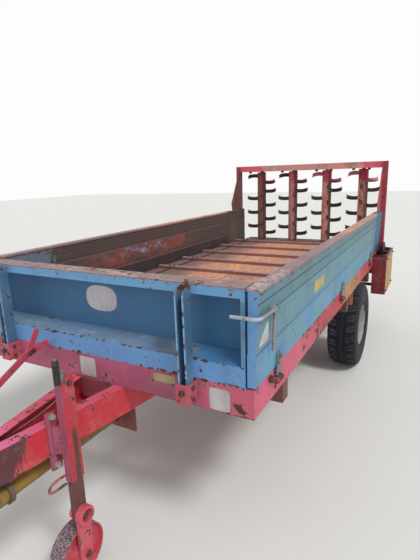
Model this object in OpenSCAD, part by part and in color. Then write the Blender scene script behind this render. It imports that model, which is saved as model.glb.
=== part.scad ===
// Single-axle manure spreader with four standing beaters, parked on its support wheel.
// +X is the machine's left, +Y its rear, +Z up, in millimetres.
// Sizes along Y are measured from the front face of the box, and X from the machine's middle.
// placed() then moves everything so that the origin lies on the floor under the middle of the whole machine.

/* [Box] */
// Outside width of the box over its sills
box_w = 1800; // [1700:10:1900]
// Length of the sill frame
box_l = 3900; // [3700:10:4100]
// Height of the boards above the floor planks
board_h = 402; // [360:1:440]
// Thickness of a side board
side_t = 32; // [28:1:36]
// How far the side's foot stands out from the sill
foot_out = 6; // [5:1:8]
// How far the side's top stands out from the sill
top_out = 25; // [18:1:30]
// Width of the flange along the top of a side
top_flange = 65; // [56:1:70]
// Depth of the pressed grooves in a side
groove_d = 7; // [4:1:9]
// Length of the fixed panel and frame behind the drop side
rear_l = 500; // [480:5:560]
// Gap round a drop side
side_gap = 8; // [6:1:12]
// Steel sheet of boards, guards and plates
sheet_t = 6; // [4:1:8]

/* [Front board] */
// How far back the panel is set from the top rail
panel_set = 100; // [80:5:115]
// Height of the top rail's front face
rail_h = 46; // [36:1:60]
// Height of the front lip above the sill
lip_h = 95; // [80:1:110]
// Rise of the shelf from the lip to the panel
shelf_rise = 36; // [24:1:50]
// Width of the folded edge at each end of the board
stile_w = 18; // [14:1:24]
// Middle of the left upright
upright_left = 582; // [500:5:640]
// Middle of the right upright
upright_right = -628; // [-700:5:-560]
// Width of an upright
upright_w = 44; // [40:1:60]
// Depth of an upright's channel
upright_d = 66; // [50:1:80]
// Width of the bracket that holds an upright's foot
foot_w = 68; // [64:1:90]
// Height of that bracket
foot_h = 99; // [80:1:110]

/* [Sills and beams] */
// Place of the front beam under the floor
under_first = 420; // [400:5:440]
// Place of the second beam
under_second = 2050; // [2000:10:2100]
// Way from the third beam to the box's end
under_back = 720; // [700:5:740]
// Way from the last beam, which carries the gearbox, to the box's end
gearbox_back = 280; // [270:5:290]
// Air between the tyres and the sills
tyre_gap = 12; // [10:1:20]
// Height of a sill
sill_h = 141; // [130:1:141]
// Flange width of sills
sill_flange = 60; // [50:1:66]
// Flange width of the rear sill, which the floor chains turn beside
rear_flange = 28; // [20:1:32]
// Wall of sills and beams
sill_t = 6; // [5:1:8]
// Height of the floor's cross members
cross_h = 75; // [65:1:80]
// Number of cross members
cross_n = 6; // [5:1:7]
// Height of the beams under the box
under_h = 112; // [90:1:130]
// Width of the beams under the box
under_w = 80; // [60:5:100]

/* [Floor] */
// Way from the box's end to the floor's rear shaft
shaft_back = 130; // [120:1:140]
// Thickness of the floor planks
plank_t = 45; // [38:1:45]
// Number of planks across the floor
plank_n = 11; // [9:1:13]
// Gap between planks
plank_gap = 3; // [2:1:6]
// Distance between slats
slat_pitch = 440; // [400:5:480]
// Width of a slat
slat_w = 50; // [40:1:60]
// Height of a slat
slat_h = 26; // [24:1:32]
// Thickness of a slat's legs
slat_leg = 6; // [5:1:8]
// Distance of a floor chain from the sill's outside
chain_in = 200; // [160:10:240]
// Thickness of a floor chain
chain_t = 18; // [14:1:20]
// Radius of the floor chains' run round their sprockets
turn_r = 84; // [82:1:86]
// Radius of the floor's shafts
shaft_r = 18; // [14:1:19]
// Place of the front shaft
front_shaft_y = 190; // [185:1:220]

/* [Drop side hinges] */
// Place of the front hinge along the side
hinge_first = 275; // [250:5:300]
// Place of the middle hinge
hinge_second = 1750; // [1700:10:1800]
// Way from the rear hinge to the side's end
hinge_back = 220; // [200:5:240]
// Height of the hinge pins above the sill's underside
hinge_h = 81; // [74:1:90]
// How far the pins stand out from the sill
hinge_out = 19; // [18:1:24]
// Radius of a hinge pin
pin_r = 8; // [6:1:9]
// Radius of a hinge knuckle
knuckle_r = 14; // [13:1:16]
// Width of a hinge strap
strap_w = 50; // [40:1:70]
// How far a strap runs up the side
strap_up = 65; // [50:1:90]
// Radius of the corner latch's rod
rod_r = 8; // [6:1:10]
// Running clearance of pins and shafts
run_gap = 0.05; // [0.02:0.01:0.1]

/* [Rear frame] */
// Way from the drop side's end to the top of the sloping wing
wing_back = 200; // [150:5:260]
// Height of the beater frame above the boards
gantry_rise = 556; // [500:1:600]
// Depth of its top beam
gantry_h = 70; // [60:1:80]
// Width of a post
post_w = 50; // [40:1:60]
// Length of a post along the machine
post_l = 70; // [60:1:80]
// Height of the wing plate's shoulder above the boards
wing_rise = 92; // [60:1:140]

/* [Beaters] */
// How far the beaters stand behind the sill frame
beater_back = 150; // [140:1:170]
// Radius of a beater's tube
beater_r = 57; // [48:1:62]
// Radius swept by the tines
sweep_r = 200; // [180:1:204]
// Radius of a beater's shaft ends
stub_r = 20; // [16:1:24]
// Height from one tine to the next
tine_step = 47; // [44:1:60]
// Thickness of a tine
tine_t = 12; // [8:1:14]
// Depth of a tine
tine_h = 46; // [36:1:52]
// Height of a paddle
paddle_h = 62; // [50:1:70]
// Drop from the higher paddle to the lower one
paddle_step = 78; // [70:1:90]
// Tilt of the paddles
paddle_tilt = 38; // [20:1:45]
// Clear tube over the paddles
head_gap = 20; // [15:1:30]
// Clear tube under the tines
foot_gap = 50; // [40:1:60]
// Way each beater stands turned at rest
beater_turns = [26, 26, 26, 0];

/* [Drive] */
// How far the drive line lies below the drawbar's beams
drive_drop = 98; // [80:1:110]
// Radius of the drive line
line_r = 22; // [18:1:26]
// How far the chain guard stands out from the sill
guard_out = 148; // [130:1:160]
// Length of the chain guard
guard_l = 590; // [560:10:620]
// Depth of the chain guard
guard_h = 440; // [430:1:450]
// Sheet of the chain guard
guard_t = 3; // [2:0.5:4]
// Radius of the guard's large sprocket
big_sprocket_r = 110; // [90:1:120]
// Radius of the guard's small sprocket
small_sprocket_r = 45; // [40:1:50]
// Width of the guard's chain
link_w = 14; // [10:1:18]
// Radius of the yellow shaft guard
pto_r = 40; // [34:1:44]

/* [Drawbar] */
// Height of the drawbar's beams
draw_h = 154; // [140:1:160]
// Flange width of the drawbar's beams
draw_flange = 55; // [45:1:60]
// Distance of a beam's outer face from the middle, at the front of the box
draw_x = 170; // [160:1:180]
// How far a beam moves out for each millimetre back
draw_slope = 0.165; // [0.15:0.005:0.17]
// Front end of the beams
draw_front = -690; // [-720:5:-670]
// Rear end of the beams
draw_rear = 2900; // [2850:10:3000]
// Length of the head that closes the drawbar's V
head_l = 70; // [60:1:90]
// Middle of the towing eye
eye_y = -1000; // [-1040:5:-980]
// Inner radius of the towing eye
eye_r = 25; // [20:1:30]
// Outer radius of the towing eye
eye_out_r = 55; // [50:1:60]
// Thickness of the towing eye
eye_t = 36; // [30:1:44]

/* [Axle and wheels] */
// Place of the axle
axle_y = 2620; // [2580:5:2660]
// Radius of a tyre
tyre_r = 400; // [380:1:405]
// Width of a tyre
tyre_w = 270; // [250:1:280]
// How far a tyre stands out from the sill
tyre_out = 55; // [40:1:65]
// Number of lugs on a shoulder of a tyre
lug_n = 26; // [20:1:30]
// Depth of the tread between lugs
lug_d = 13; // [8:1:16]
// Radius of the rim under the tyre
rim_r = 195; // [190:1:200]
// Side of the square axle
axle_s = 80; // [70:1:90]
// Radius of the axle's spindle
spindle_r = 25; // [22:1:30]
// Seat gap between pieces that are fixed together
seat = 0.3; // [0.2:0.1:0.5]

/* [Support wheel] */
// Distance of the leg from the middle
leg_x = 165; // [160:1:175]
// Place of the leg along the machine
leg_y = -360; // [-380:1:-350]
// Width of the leg's tube across the machine
leg_w = 40; // [36:1:48]
// Depth of the leg's tube along the machine
leg_d = 72; // [60:1:78]
// Wall of the leg's tube
leg_wall = 4; // [3:1:6]
// Gap between the leg's tube and the inner leg
leg_gap = 0.3; // [0.2:0.1:0.8]
// Height of the leg's top above the drawbar
leg_up = 224; // [180:1:250]
// How far the leg's tube reaches below the drawbar
leg_down = 128; // [100:1:150]
// Radius of the support wheel
jack_r = 130; // [120:1:134]
// Width of the support wheel
jack_w = 86; // [70:1:90]
// Length of the arm, from pivot to hub
arm_l = 211; // [205:1:216]
// How far the hub leads the pivot, so that the load holds the arm on its stop
arm_lead = 8; // [4:1:12]
// Thickness of the arm
arm_t = 14; // [10:1:16]
// Radius of the arm's pivot
pivot_r = 18; // [14:1:20]

/* [Hidden] */
$fn = 48;
red = [0.72, 0.15, 0.18];
dark_red = [0.45, 0.10, 0.13];
blue = [0.25, 0.50, 0.65];
rust = [0.45, 0.27, 0.22];
timber = [0.70, 0.48, 0.34];
steel = [0.45, 0.42, 0.40];
black = [0.10, 0.11, 0.12];
pale = [0.75, 0.73, 0.68];
yellow = [0.62, 0.52, 0.18];

// Heights, from the tyres up
sill_bottom = 2 * tyre_r + tyre_gap;
sill_top = sill_bottom + sill_h;
plank_bottom = sill_top + 2;
floor_z = plank_bottom + plank_t;
box_top = floor_z + board_h;
side_bottom = sill_top + side_gap;
cross_bottom = plank_bottom - cross_h;
turn_z = floor_z + chain_t / 2 - turn_r;
hinge_z = sill_bottom + hinge_h;
lip_top = sill_top + lip_h;
shelf_top = lip_top + shelf_rise;
gantry_top = box_top + gantry_rise;
gantry_bottom = gantry_top - gantry_h;
wing_z = box_top + wing_rise;
draw_top = sill_bottom;
draw_bottom = draw_top - draw_h;
drive_z = draw_bottom - drive_drop;
guard_top = sill_top - 13;
guard_bottom = guard_top - guard_h;
leg_top = draw_top + leg_up;
leg_bottom = draw_bottom - leg_down;
jack_z = jack_r + arm_l;

// Places across the machine
half_w = box_w / 2;
board_in = half_w - side_t;
board_end = board_in - side_gap;
inner_w = half_w - sill_flange;
chain_x = half_w - chain_in;
hinge_x = half_w + hinge_out;
guard_x = half_w + guard_out;
post_x = half_w;
tyre_x = half_w + tyre_out;
tyre_in = tyre_x - tyre_w;
sprocket_x = post_x + post_w + 14;
beater_pitch = 2 * (board_end - sweep_r) / 3;
beater_xs = [for (i = [-1.5:1:1.5]) i * beater_pitch];
upright_xs = [upright_right, upright_left];
arm_x = leg_x + leg_w / 2 - leg_wall;
jack_x = arm_x - 7 - jack_w / 2;

// Places along the machine
drop_end = box_l - rear_l;
wing_y = drop_end + wing_back;
guard_y = drop_end + 30;
rear_shaft_y = box_l - shaft_back;
post_y = box_l - post_l + 30;
beater_y = box_l + beater_back;
hinge_ys = [hinge_first, hinge_second, drop_end - hinge_back];
under_ys = [under_first, under_second, box_l - under_back, box_l - gearbox_back];
gearbox_y = under_ys[3];
bearing_y = 100;
tip_y = draw_front - head_l;
rear_end = beater_y + sweep_r;
front_end = eye_y - eye_out_r;

// Feet and heads of the beaters' tubes
beater_foot = floor_z - 8;
beater_head = gantry_bottom - 8;

mid_x = (guard_x - tyre_x) / 2;
mid_y = (front_end + rear_end) / 2;

module placed() translate([-mid_x, -mid_y, 0]) children();
module block(x, y, z) translate([x[0], y[0], z[0]]) cube([x[1] - x[0], y[1] - y[0], z[1] - z[0]]);
module along_x(x0, x1) translate([x0, 0, 0]) rotate([90, 0, 90]) linear_extrude(x1 - x0) children();
module along_y(y0, y1) translate([0, y1, 0]) rotate([90, 0, 0]) linear_extrude(y1 - y0) children();
module rod_x(x0, x1, r) translate([x0, 0, 0]) rotate([0, 90, 0]) cylinder(h = x1 - x0, r = r);
module rod_y(y0, y1, r) translate([0, y0, 0]) rotate([-90, 0, 0]) cylinder(h = y1 - y0, r = r);
module on_right() mirror([1, 0, 0]) children();
module both_sides() {
    children();
    on_right() children();
}

// Channel section with its web at 0 and its flanges towards the first axis
function channel(w, h, t) = [[0, 0], [w, 0], [w, t], [t, t], [t, h - t], [w, h - t], [w, h], [0, h]];

// Sills: channels round the floor with their webs outside
module front_sill() color(red) placed() {
    along_x(-half_w, half_w) translate([0, sill_bottom]) polygon(channel(sill_flange, sill_h, sill_t));
    for (x = [-half_w, half_w - sill_t])
        block([x, x + sill_t], [sill_t, sill_flange], [sill_bottom + sill_t, sill_top - sill_t]);
}
module side_sill() color(red) placed() children();
module sill_along_side() difference() {
    along_y(sill_flange, box_l - rear_flange)
        translate([half_w, sill_bottom]) mirror([1, 0]) polygon(channel(sill_flange, sill_h, sill_t));
    for (y = [front_shaft_y, rear_shaft_y])
        translate([0, y, turn_z]) rod_x(half_w - 2 * sill_t, half_w + sill_t, shaft_r + run_gap);
}
module hinge_ears() for (y = hinge_ys) for (side = [-1, 1]) difference() {
    translate([0, y + side * (strap_w / 2 + 7) - 5, 0]) {
        block([half_w, hinge_x], [0, 10], [hinge_z - knuckle_r, hinge_z + knuckle_r]);
        translate([hinge_x, 0, hinge_z]) rod_y(0, 10, knuckle_r);
    }
    translate([hinge_x, y - strap_w, hinge_z]) rod_y(0, 2 * strap_w, pin_r);
}
module hinge_pins() for (y = hinge_ys)
    translate([hinge_x, y - strap_w / 2 - 16, hinge_z]) rod_y(0, strap_w + 32, pin_r);
module left_sill() side_sill() {
    sill_along_side();
    hinge_ears();
    hinge_pins();
}
module right_sill() side_sill() on_right() {
    sill_along_side();
    hinge_ears();
    hinge_pins();
}
module rear_sill() color(red) placed() along_x(-half_w, half_w)
    translate([box_l, sill_bottom]) mirror([1, 0]) polygon(channel(rear_flange, sill_h, sill_t));

// Light channels that carry the planks between the side sills
module cross_members() color(dark_red) placed() for (i = [0:cross_n - 1])
    translate([0, sill_flange + 260 + i * (box_l - 620) / (cross_n - 1), 0]) along_x(-inner_w, inner_w)
        translate([0, cross_bottom]) polygon(channel(50, cross_h, 5));

// Outline of one drawbar beam's space, for cutting the beams that meet it
module draw_beam_space(h) linear_extrude(h)
    polygon([[draw_x + draw_slope * draw_front - draw_flange, draw_front],
        [draw_x + draw_slope * draw_front, draw_front],
        [draw_x + draw_slope * draw_rear, draw_rear],
        [draw_x + draw_slope * draw_rear - draw_flange, draw_rear]]);
module draw_beam() translate([0, 0, draw_bottom]) difference() {
    draw_beam_space(draw_h);
    translate([-sill_t, -1, sill_t]) linear_extrude(draw_h - 2 * sill_t)
        polygon([[draw_x + draw_slope * draw_front - draw_flange - 1, draw_front - 1],
            [draw_x + draw_slope * draw_front, draw_front - 1],
            [draw_x + draw_slope * draw_rear, draw_rear + 2],
            [draw_x + draw_slope * draw_rear - draw_flange - 1, draw_rear + 2]]);
}
module left_draw_beam() color(red) placed() draw_beam();
module right_draw_beam() color(red) placed() on_right() draw_beam();

// Box beams under the sills, cut where the drawbar's beams pass, and a short one behind the front sill
module under_beams() color(dark_red) placed() difference() {
    union() {
        for (y = under_ys)
            block([-half_w, half_w], [y - under_w / 2, y + under_w / 2], [sill_bottom - under_h, sill_bottom]);
        block([-draw_x, draw_x], [0, under_w / 2], [sill_bottom - under_h, sill_bottom]);
    }
    translate([0, 0, draw_bottom - 1]) both_sides() draw_beam_space(draw_h + 2);
}

// Head that closes the drawbar's V and holds the eye
module draw_head() color(red) placed() {
    x1 = draw_x + draw_slope * draw_front;
    along_x(-x1 + sill_t, x1 - sill_t) polygon([[tip_y, draw_bottom + 20], [draw_front, draw_bottom],
        [draw_front, draw_top], [tip_y, draw_top - 20]]);
}
module towing_eye() color(steel) placed() translate([0, eye_y, draw_bottom + draw_h / 2]) difference() {
    union() {
        translate([0, 0, -eye_t / 2]) cylinder(h = eye_t, r = eye_out_r);
        rod_y(eye_out_r - 8, tip_y - eye_y, line_r);
    }
    translate([0, 0, -40]) cylinder(h = 80, r = eye_r);
}

// Square axle with its spindles and the pedestals up to the drawbar's beams
module axle() color(dark_red) placed() translate([0, axle_y, tyre_r]) {
    block([-tyre_in + 30, tyre_in - 30], [-axle_s / 2, axle_s / 2], [-axle_s / 2, axle_s / 2]);
    both_sides() {
        rod_x(tyre_in - 30, tyre_in + 0.56 * tyre_w, spindle_r);
        px = draw_x + draw_slope * axle_y - draw_flange;
        block([px - 20, px + 40], [-70, 70], [axle_s / 2, draw_bottom - tyre_r]);
    }
}

module floor_planks() color(timber) placed() {
    w = (2 * board_end + plank_gap) / plank_n;
    for (i = [0:plank_n - 1])
        block([i * w - board_end, (i + 1) * w - plank_gap - board_end],
            [front_shaft_y + turn_r, rear_shaft_y - turn_r], [plank_bottom, floor_z]);
}

// Outline of a chain's loop, r from the shafts' middles
module loop_outline(r) {
    translate([front_shaft_y, turn_z - r]) square([rear_shaft_y - front_shaft_y, 2 * r]);
    for (y = [front_shaft_y, rear_shaft_y]) translate([y, turn_z]) circle(r);
}
module chain_loops(wide, out) for (x = [-chain_x, chain_x]) along_x(x - wide / 2, x + wide / 2) difference() {
    loop_outline(turn_r + chain_t / 2 + out);
    loop_outline(turn_r - chain_t / 2 - out);
}
module floor_conveyor() color(steel) placed() chain_loops(chain_t, 0);

// Slats: channels laid over both chains, legs down, with a notch for each chain
module slat_section() difference() {
    translate([-slat_w / 2, 1]) square([slat_w, slat_h]);
    translate([slat_leg - slat_w / 2, 0]) square([slat_w - 2 * slat_leg, chain_t + seat]);
}
module floor_slats() color(steel) placed() difference() {
    for (y = [front_shaft_y + 310:slat_pitch:rear_shaft_y - 100]) {
        along_x(10 - board_end, board_end - 10) translate([y, floor_z]) slat_section();
        along_x(10 - board_end, board_end - 10) translate([y, 2 * turn_z - floor_z]) mirror([0, 1]) slat_section();
    }
    chain_loops(chain_t + 2 * seat, seat);
}
module floor_shafts() color(steel) placed() {
    for (y = [front_shaft_y, rear_shaft_y]) translate([0, y, turn_z]) {
        rod_x(-half_w - 20, y == rear_shaft_y ? guard_x - 30 : half_w + 20, shaft_r);
        for (x = [-chain_x, chain_x]) rod_x(x - chain_t / 2, x + chain_t / 2, turn_r - chain_t / 2);
    }
}

// Front board: lip, sloping shelf, set-back panel and top rail, one folded sheet between two end stiles
module front_board() color(blue) placed() {
    rear = panel_set + sheet_t;
    along_x(sheet_t - board_end, board_end - sheet_t) polygon([
        [0, sill_top], [sheet_t, sill_top], [sheet_t, lip_top - sheet_t], [rear, shelf_top - sheet_t],
        [rear, box_top], [0, box_top], [0, box_top - rail_h], [sheet_t, box_top - rail_h],
        [sheet_t, box_top - sheet_t], [panel_set, box_top - sheet_t], [panel_set, shelf_top], [0, lip_top]]);
    both_sides() {
        block([board_end - sheet_t, board_end], [0, rear], [sill_top, box_top]);
        block([board_end - stile_w, board_end - sheet_t], [0, sheet_t], [sill_top, box_top]);
    }
}

// Uprights: channels open to the front with their top corners cut off
upright_foot = sill_top - foot_h + 6;
upright_head = box_top - 8;
module front_uprights() color(blue) placed() for (x = upright_xs) difference() {
    along_x(x - upright_w / 2, x + upright_w / 2) polygon([[0, upright_foot], [0, upright_head],
        [-upright_d * 0.45, upright_head], [-upright_d, upright_head - upright_d * 0.4], [-upright_d, upright_foot]]);
    block([x - upright_w / 2 + sheet_t, x + upright_w / 2 - sheet_t], [-upright_d - 1, -sheet_t], [0, gantry_top]);
}

// U-shaped brackets on the sill that the uprights stand in
module upright_feet() color(red) placed() for (x = upright_xs) difference() {
    block([x - foot_w / 2, x + foot_w / 2], [-upright_d - 2 - sheet_t, 0], [sill_top - 8 - foot_h, sill_top - 8]);
    block([x - foot_w / 2 + sheet_t, x + foot_w / 2 - sheet_t], [-upright_d - 2, 1], [0, gantry_top]);
}

// Side board: its outer face leans out, with pressed grooves, and its inner face has two steps
groove_depths = [289, 134, 69];
step_depths = [134, 289];
function lean(z) = half_w + foot_out + (top_out - foot_out) * (z - side_bottom) / (box_top - side_bottom);
function groove(z) = [[lean(z - groove_d), z - groove_d], [lean(z) - groove_d, z],
    [lean(z + groove_d), z + groove_d]];
module side_section(foot) polygon(concat(
    [[board_in, foot], [lean(foot), foot]],
    [for (d = groove_depths) each groove(box_top - d)],
    [[lean(box_top - 6), box_top - 6]],
    [[board_in + 6, box_top - 6], [board_in + 6, box_top - step_depths[0]], [board_in + 3, box_top - step_depths[0]],
        [board_in + 3, box_top - step_depths[1]], [board_in, box_top - step_depths[1]]]));
module side_board(y0, y1, foot) along_y(y0, y1) side_section(foot);
module top_rail(y0, y1) along_y(y0, y1) translate([board_in - 1, box_top - 12]) square([top_flange, 12]);
module drop_side() {
    side_board(side_gap / 2, drop_end, side_bottom);
    top_rail(side_gap / 2, drop_end);
}
module left_drop_side() color(blue) placed() drop_side();
module right_drop_side() color(blue) placed() on_right() drop_side();
module rear_side_panels() color(rust) placed() both_sides() {
    side_board(drop_end + side_gap, post_y, sill_top);
    block([board_in, half_w], [post_y, post_y + post_l], [sill_top, box_top]);
    top_rail(drop_end + side_gap, wing_y);
}

// Straps that follow the side's foot down over the sill and turn on its pins
strap_in = half_w + 5;
strap_top = side_bottom + strap_up;
module strap_section() polygon([[strap_in, hinge_z], [strap_in, side_bottom - 2], [lean(side_bottom), side_bottom],
    [lean(strap_top), strap_top], [lean(strap_top) + 8, strap_top],
    [lean(side_bottom) + 8, side_bottom], [strap_in + 8, hinge_z]]);
module hinge_strap(y) difference() {
    union() {
        along_y(y - strap_w / 2, y + strap_w / 2) strap_section();
        translate([hinge_x, y - strap_w / 2, hinge_z]) rod_y(0, strap_w, knuckle_r);
    }
    translate([hinge_x, y - strap_w, hinge_z]) rod_y(0, 2 * strap_w, pin_r + run_gap);
}
module hinge_straps() for (y = hinge_ys) hinge_strap(y);
module left_hinge_straps() color(blue) placed() hinge_straps();
module right_hinge_straps() color(blue) placed() on_right() hinge_straps();

// Rod bent round the box's front corner, held on the side in a boss, with its handle hanging down
rod_x_out = lean(box_top) + 13;
rod_front = -30;
boss_y = 149;
boss_z = box_top - 120;
module corner_latch() {
    translate([0, rod_front, boss_z]) rod_x(half_w - 88, rod_x_out + rod_r, rod_r);
    translate([rod_x_out, rod_front, boss_z]) rod_y(0, boss_y - rod_front, rod_r);
    translate([rod_x_out, boss_y, boss_z - 188]) cylinder(h = 188, r = rod_r);
    translate([0, boss_y, boss_z]) rod_x(lean(boss_z + 14), rod_x_out + rod_r + 2, 14);
}
module left_corner_latch() color(steel) placed() corner_latch();
module right_corner_latch() color(steel) placed() on_right() corner_latch();

// Beater frame: posts outside the sills, wing plates, top beam
module rear_posts() color(red) placed() both_sides()
    block([post_x, post_x + post_w], [post_y, post_y + post_l], [sill_bottom, gantry_top]);
module wing_plates() color(red) placed() both_sides() along_x(half_w - sheet_t, half_w)
    polygon([[wing_y, box_top], [post_y + post_l, box_top], [post_y + post_l, gantry_top],
        [post_y, gantry_top], [wing_y - 20, wing_z]]);
module top_beam() color(red) placed() difference() {
    block([-half_w + sheet_t, half_w - sheet_t], [post_y, beater_y + 80], [gantry_bottom, gantry_top]);
    block([-half_w, half_w], [post_y + sheet_t, beater_y + 80 - sheet_t], [gantry_bottom - 1, gantry_top - sheet_t]);
}
module beater_bearings() color(dark_red) placed() for (x = beater_xs) translate([x, 0, 0]) difference() {
    union() {
        block([-60, 60], [post_y + sheet_t, beater_y + 80 - sheet_t], [gantry_bottom, gantry_bottom + 8]);
        translate([0, beater_y, gantry_bottom]) cylinder(h = 45, r = 45);
    }
    translate([0, beater_y, gantry_bottom - 1]) cylinder(h = 60, r = stub_r + run_gap);
}
module drive_beam() color(dark_red) placed() difference() {
    union() {
        block([-board_end, board_end], [box_l, beater_y + 75], [sill_bottom + 20, beater_foot - 6]);
        block([-90, 90], [beater_y - 90, beater_y + 75], [drive_z - 60, sill_bottom + 20]);
    }
    for (x = beater_xs) translate([x, beater_y, beater_foot - 60]) cylinder(h = 80, r = stub_r + run_gap);
}

// Tine: a flat blade that swings up to a notched tip; the columns are the share of its length and its height
tine_low = [[0, 0], [0.3, -0.05], [0.6, -0.02], [0.84, 0.14], [1, 0.6]];
tine_high = [[0.91, 0.78], [0.97, 1.4], [0.8, 1.15], [0.6, 0.98], [0.3, 0.9], [0, 1]];
module tine(long, deep, thick) rotate([90, 0, 0]) translate([0, 0, -thick / 2]) linear_extrude(thick)
    polygon([for (p = concat(tine_low, tine_high)) [beater_r - 6 + p[0] * (long - beater_r + 6), p[1] * deep]]);
module paddle(up) mirror([0, 0, 1 - up]) rotate([up ? -paddle_tilt : paddle_tilt, 0, 0])
    translate([0, 0, -paddle_h / 2]) tine(sweep_r - 12, paddle_h / 1.2, tine_t);
module beater(i) color(dark_red) placed() translate([beater_xs[i], beater_y, 0]) {
    translate([0, 0, beater_foot]) cylinder(h = beater_head - beater_foot, r = beater_r);
    translate([0, 0, beater_foot - 50]) cylinder(h = beater_head - beater_foot + 95, r = stub_r);
    turn = i < 2 ? 90 : -90;
    tine_n = floor((beater_head - beater_foot - foot_gap - head_gap - paddle_h - paddle_step) / tine_step);
    for (k = [0:tine_n - 1]) translate([0, 0, beater_foot + foot_gap + k * tine_step])
        rotate(beater_turns[i] + k * turn) tine(sweep_r, tine_h, tine_t);
    for (a = [0, 1]) translate([0, 0, beater_head - head_gap - paddle_h / 2 - a * paddle_step])
        rotate(28 + 180 * (1 - a)) paddle(a);
}
module beater_1() beater(0);
module beater_2() beater(1);
module beater_3() beater(2);
module beater_4() beater(3);

// Shaft under the floor from the front bracket through the gearbox to the beaters
module drive_line() color(steel) placed() {
    translate([0, 0, drive_z]) rod_y(bearing_y + 20, gearbox_y - 110, line_r);
    block([-90, 90], [gearbox_y - 110, gearbox_y + 110], [drive_z - 75, sill_bottom - under_h]);
    translate([0, 0, drive_z]) rod_y(gearbox_y + 110, beater_y - 90, line_r);
    translate([0, gearbox_y, drive_z]) rod_x(90, guard_x - 30, shaft_r);
}
module chain_guard() color(dark_red) placed() {
    y1 = guard_y + guard_l;
    x1 = guard_x - guard_t;
    block([x1, guard_x], [guard_y, y1], [guard_bottom, guard_top]);
    block([half_w, x1], [guard_y, guard_y + guard_t], [guard_bottom, guard_top]);
    block([half_w, x1], [y1 - guard_t, y1], [guard_bottom, guard_top]);
    block([half_w, x1], [guard_y + guard_t, y1 - guard_t], [guard_bottom, guard_bottom + guard_t]);
    block([x1 - 16, x1], [guard_y + guard_t, y1 - guard_t], [guard_top - guard_t, guard_top]);
}

// Chain round two sprockets: circles joined by the straight lines that touch both
module belt(c1, r1, c2, r2) {
    d = c2 - c1;
    turned = atan2(d[1], d[0]);
    half = acos((r1 - r2) / norm(d));
    translate(c1) circle(r1);
    translate(c2) circle(r2);
    polygon([for (p = [[c1, r1, -half], [c2, r2, -half], [c2, r2, half], [c1, r1, half]])
        p[0] + p[1] * [cos(turned + p[2]), sin(turned + p[2])]]);
}
module guard_drive() color(steel) placed() difference() {
    top = [rear_shaft_y, turn_z];
    foot = [gearbox_y, drive_z];
    union() {
        along_x(sprocket_x, sprocket_x + link_w) difference() {
            belt(top, big_sprocket_r + 5, foot, small_sprocket_r + 5);
            belt(top, big_sprocket_r - 5, foot, small_sprocket_r - 5);
        }
        along_x(sprocket_x + link_w / 4, sprocket_x + 3 * link_w / 4) {
            translate(top) circle(big_sprocket_r);
            translate(foot) circle(small_sprocket_r);
        }
    }
    translate([0, rear_shaft_y, turn_z]) rod_x(post_x, guard_x, shaft_r);
    translate([0, gearbox_y, drive_z]) rod_x(post_x, guard_x, shaft_r);
}

// Bracket under the drawbar that carries the shaft's front bearing
module shaft_bracket() color(red) placed() difference() {
    union() {
        block([-draw_x + 20, draw_x - 20], [bearing_y, bearing_y + 12], [drive_z - 70, draw_bottom]);
        translate([0, 0, drive_z]) rod_y(bearing_y - 15, bearing_y + 35, 2 * line_r);
    }
    translate([0, 0, drive_z]) rod_y(bearing_y - 20, bearing_y + 40, line_r + run_gap);
}
module shaft_guard() color(yellow) placed() translate([0, 0, drive_z]) {
    rod_y(draw_front + 50, bearing_y - 40, pto_r);
    rod_y(bearing_y - 40, bearing_y + 20, line_r - 2);
    rod_y(tip_y, draw_front + 50, line_r);
}
// Ring under the drawbar's head in which the shaft rests when parked
module shaft_rest() color(steel) placed() difference() {
    along_y(draw_front + 90, draw_front + 110) {
        translate([0, drive_z]) circle(pto_r + 10);
        translate([-15, drive_z]) square([30, draw_bottom - drive_z]);
    }
    translate([0, 0, drive_z]) rod_y(draw_front + 80, draw_front + 120, pto_r + seat);
}

// Brake lever: a flat bar pivoted on a strap that is welded to the sill
module limb(p, q, rp, rq) {
    n = [p[1] - q[1], q[0] - p[0]] / norm(q - p);
    translate(p) circle(rp);
    translate(q) circle(rq);
    polygon([p + rp * n, q + rq * n, q - rq * n, p - rp * n]);
}
lever_x = -330;
lever_pin = [-140, sill_top + 14];
module brake_lever() color(red) placed() {
    along_x(lever_x - 8, lever_x) {
        limb([-360, sill_bottom + 48], lever_pin, 18, 19);
        limb(lever_pin, [-76, sill_top + 112], 19, 17);
    }
    along_x(lever_x, lever_x + 8) {
        limb(lever_pin, [-30, sill_top + 34], 19, 15);
        polygon([[-40, sill_top + 26], [-18, sill_top + 34], [0, sill_top], [0, sill_top - 24]]);
    }
}

// Support leg on the left drawbar beam, with its folding wheel down
module centred(w, d, z) block([leg_x - w / 2, leg_x + w / 2], [leg_y - d / 2, leg_y + d / 2], z);
function beam_face(y) = draw_x + draw_slope * y;
module leg_tube() color(red) placed() {
    difference() {
        centred(leg_w, leg_d, [leg_bottom, leg_top]);
        centred(leg_w - 2 * leg_wall, leg_d - 2 * leg_wall, [0, leg_top - leg_wall]);
    }
    translate([0, 0, draw_bottom + 10]) linear_extrude(draw_h - 20) polygon([[beam_face(leg_y - 60), leg_y - 60],
        [beam_face(leg_y + 60), leg_y + 60], [leg_x - leg_w / 2, leg_y + leg_d / 2],
        [leg_x - leg_w / 2, leg_y - leg_d / 2]]);
    translate([0, 0, draw_bottom - 68]) linear_extrude(draw_h + 126) polygon([[beam_face(leg_y - 70), leg_y - 70],
        [beam_face(leg_y - 20), leg_y - 20], [beam_face(leg_y - 20) + 12, leg_y - 20],
        [beam_face(leg_y - 70) + 12, leg_y - 70]]);
}
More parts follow.
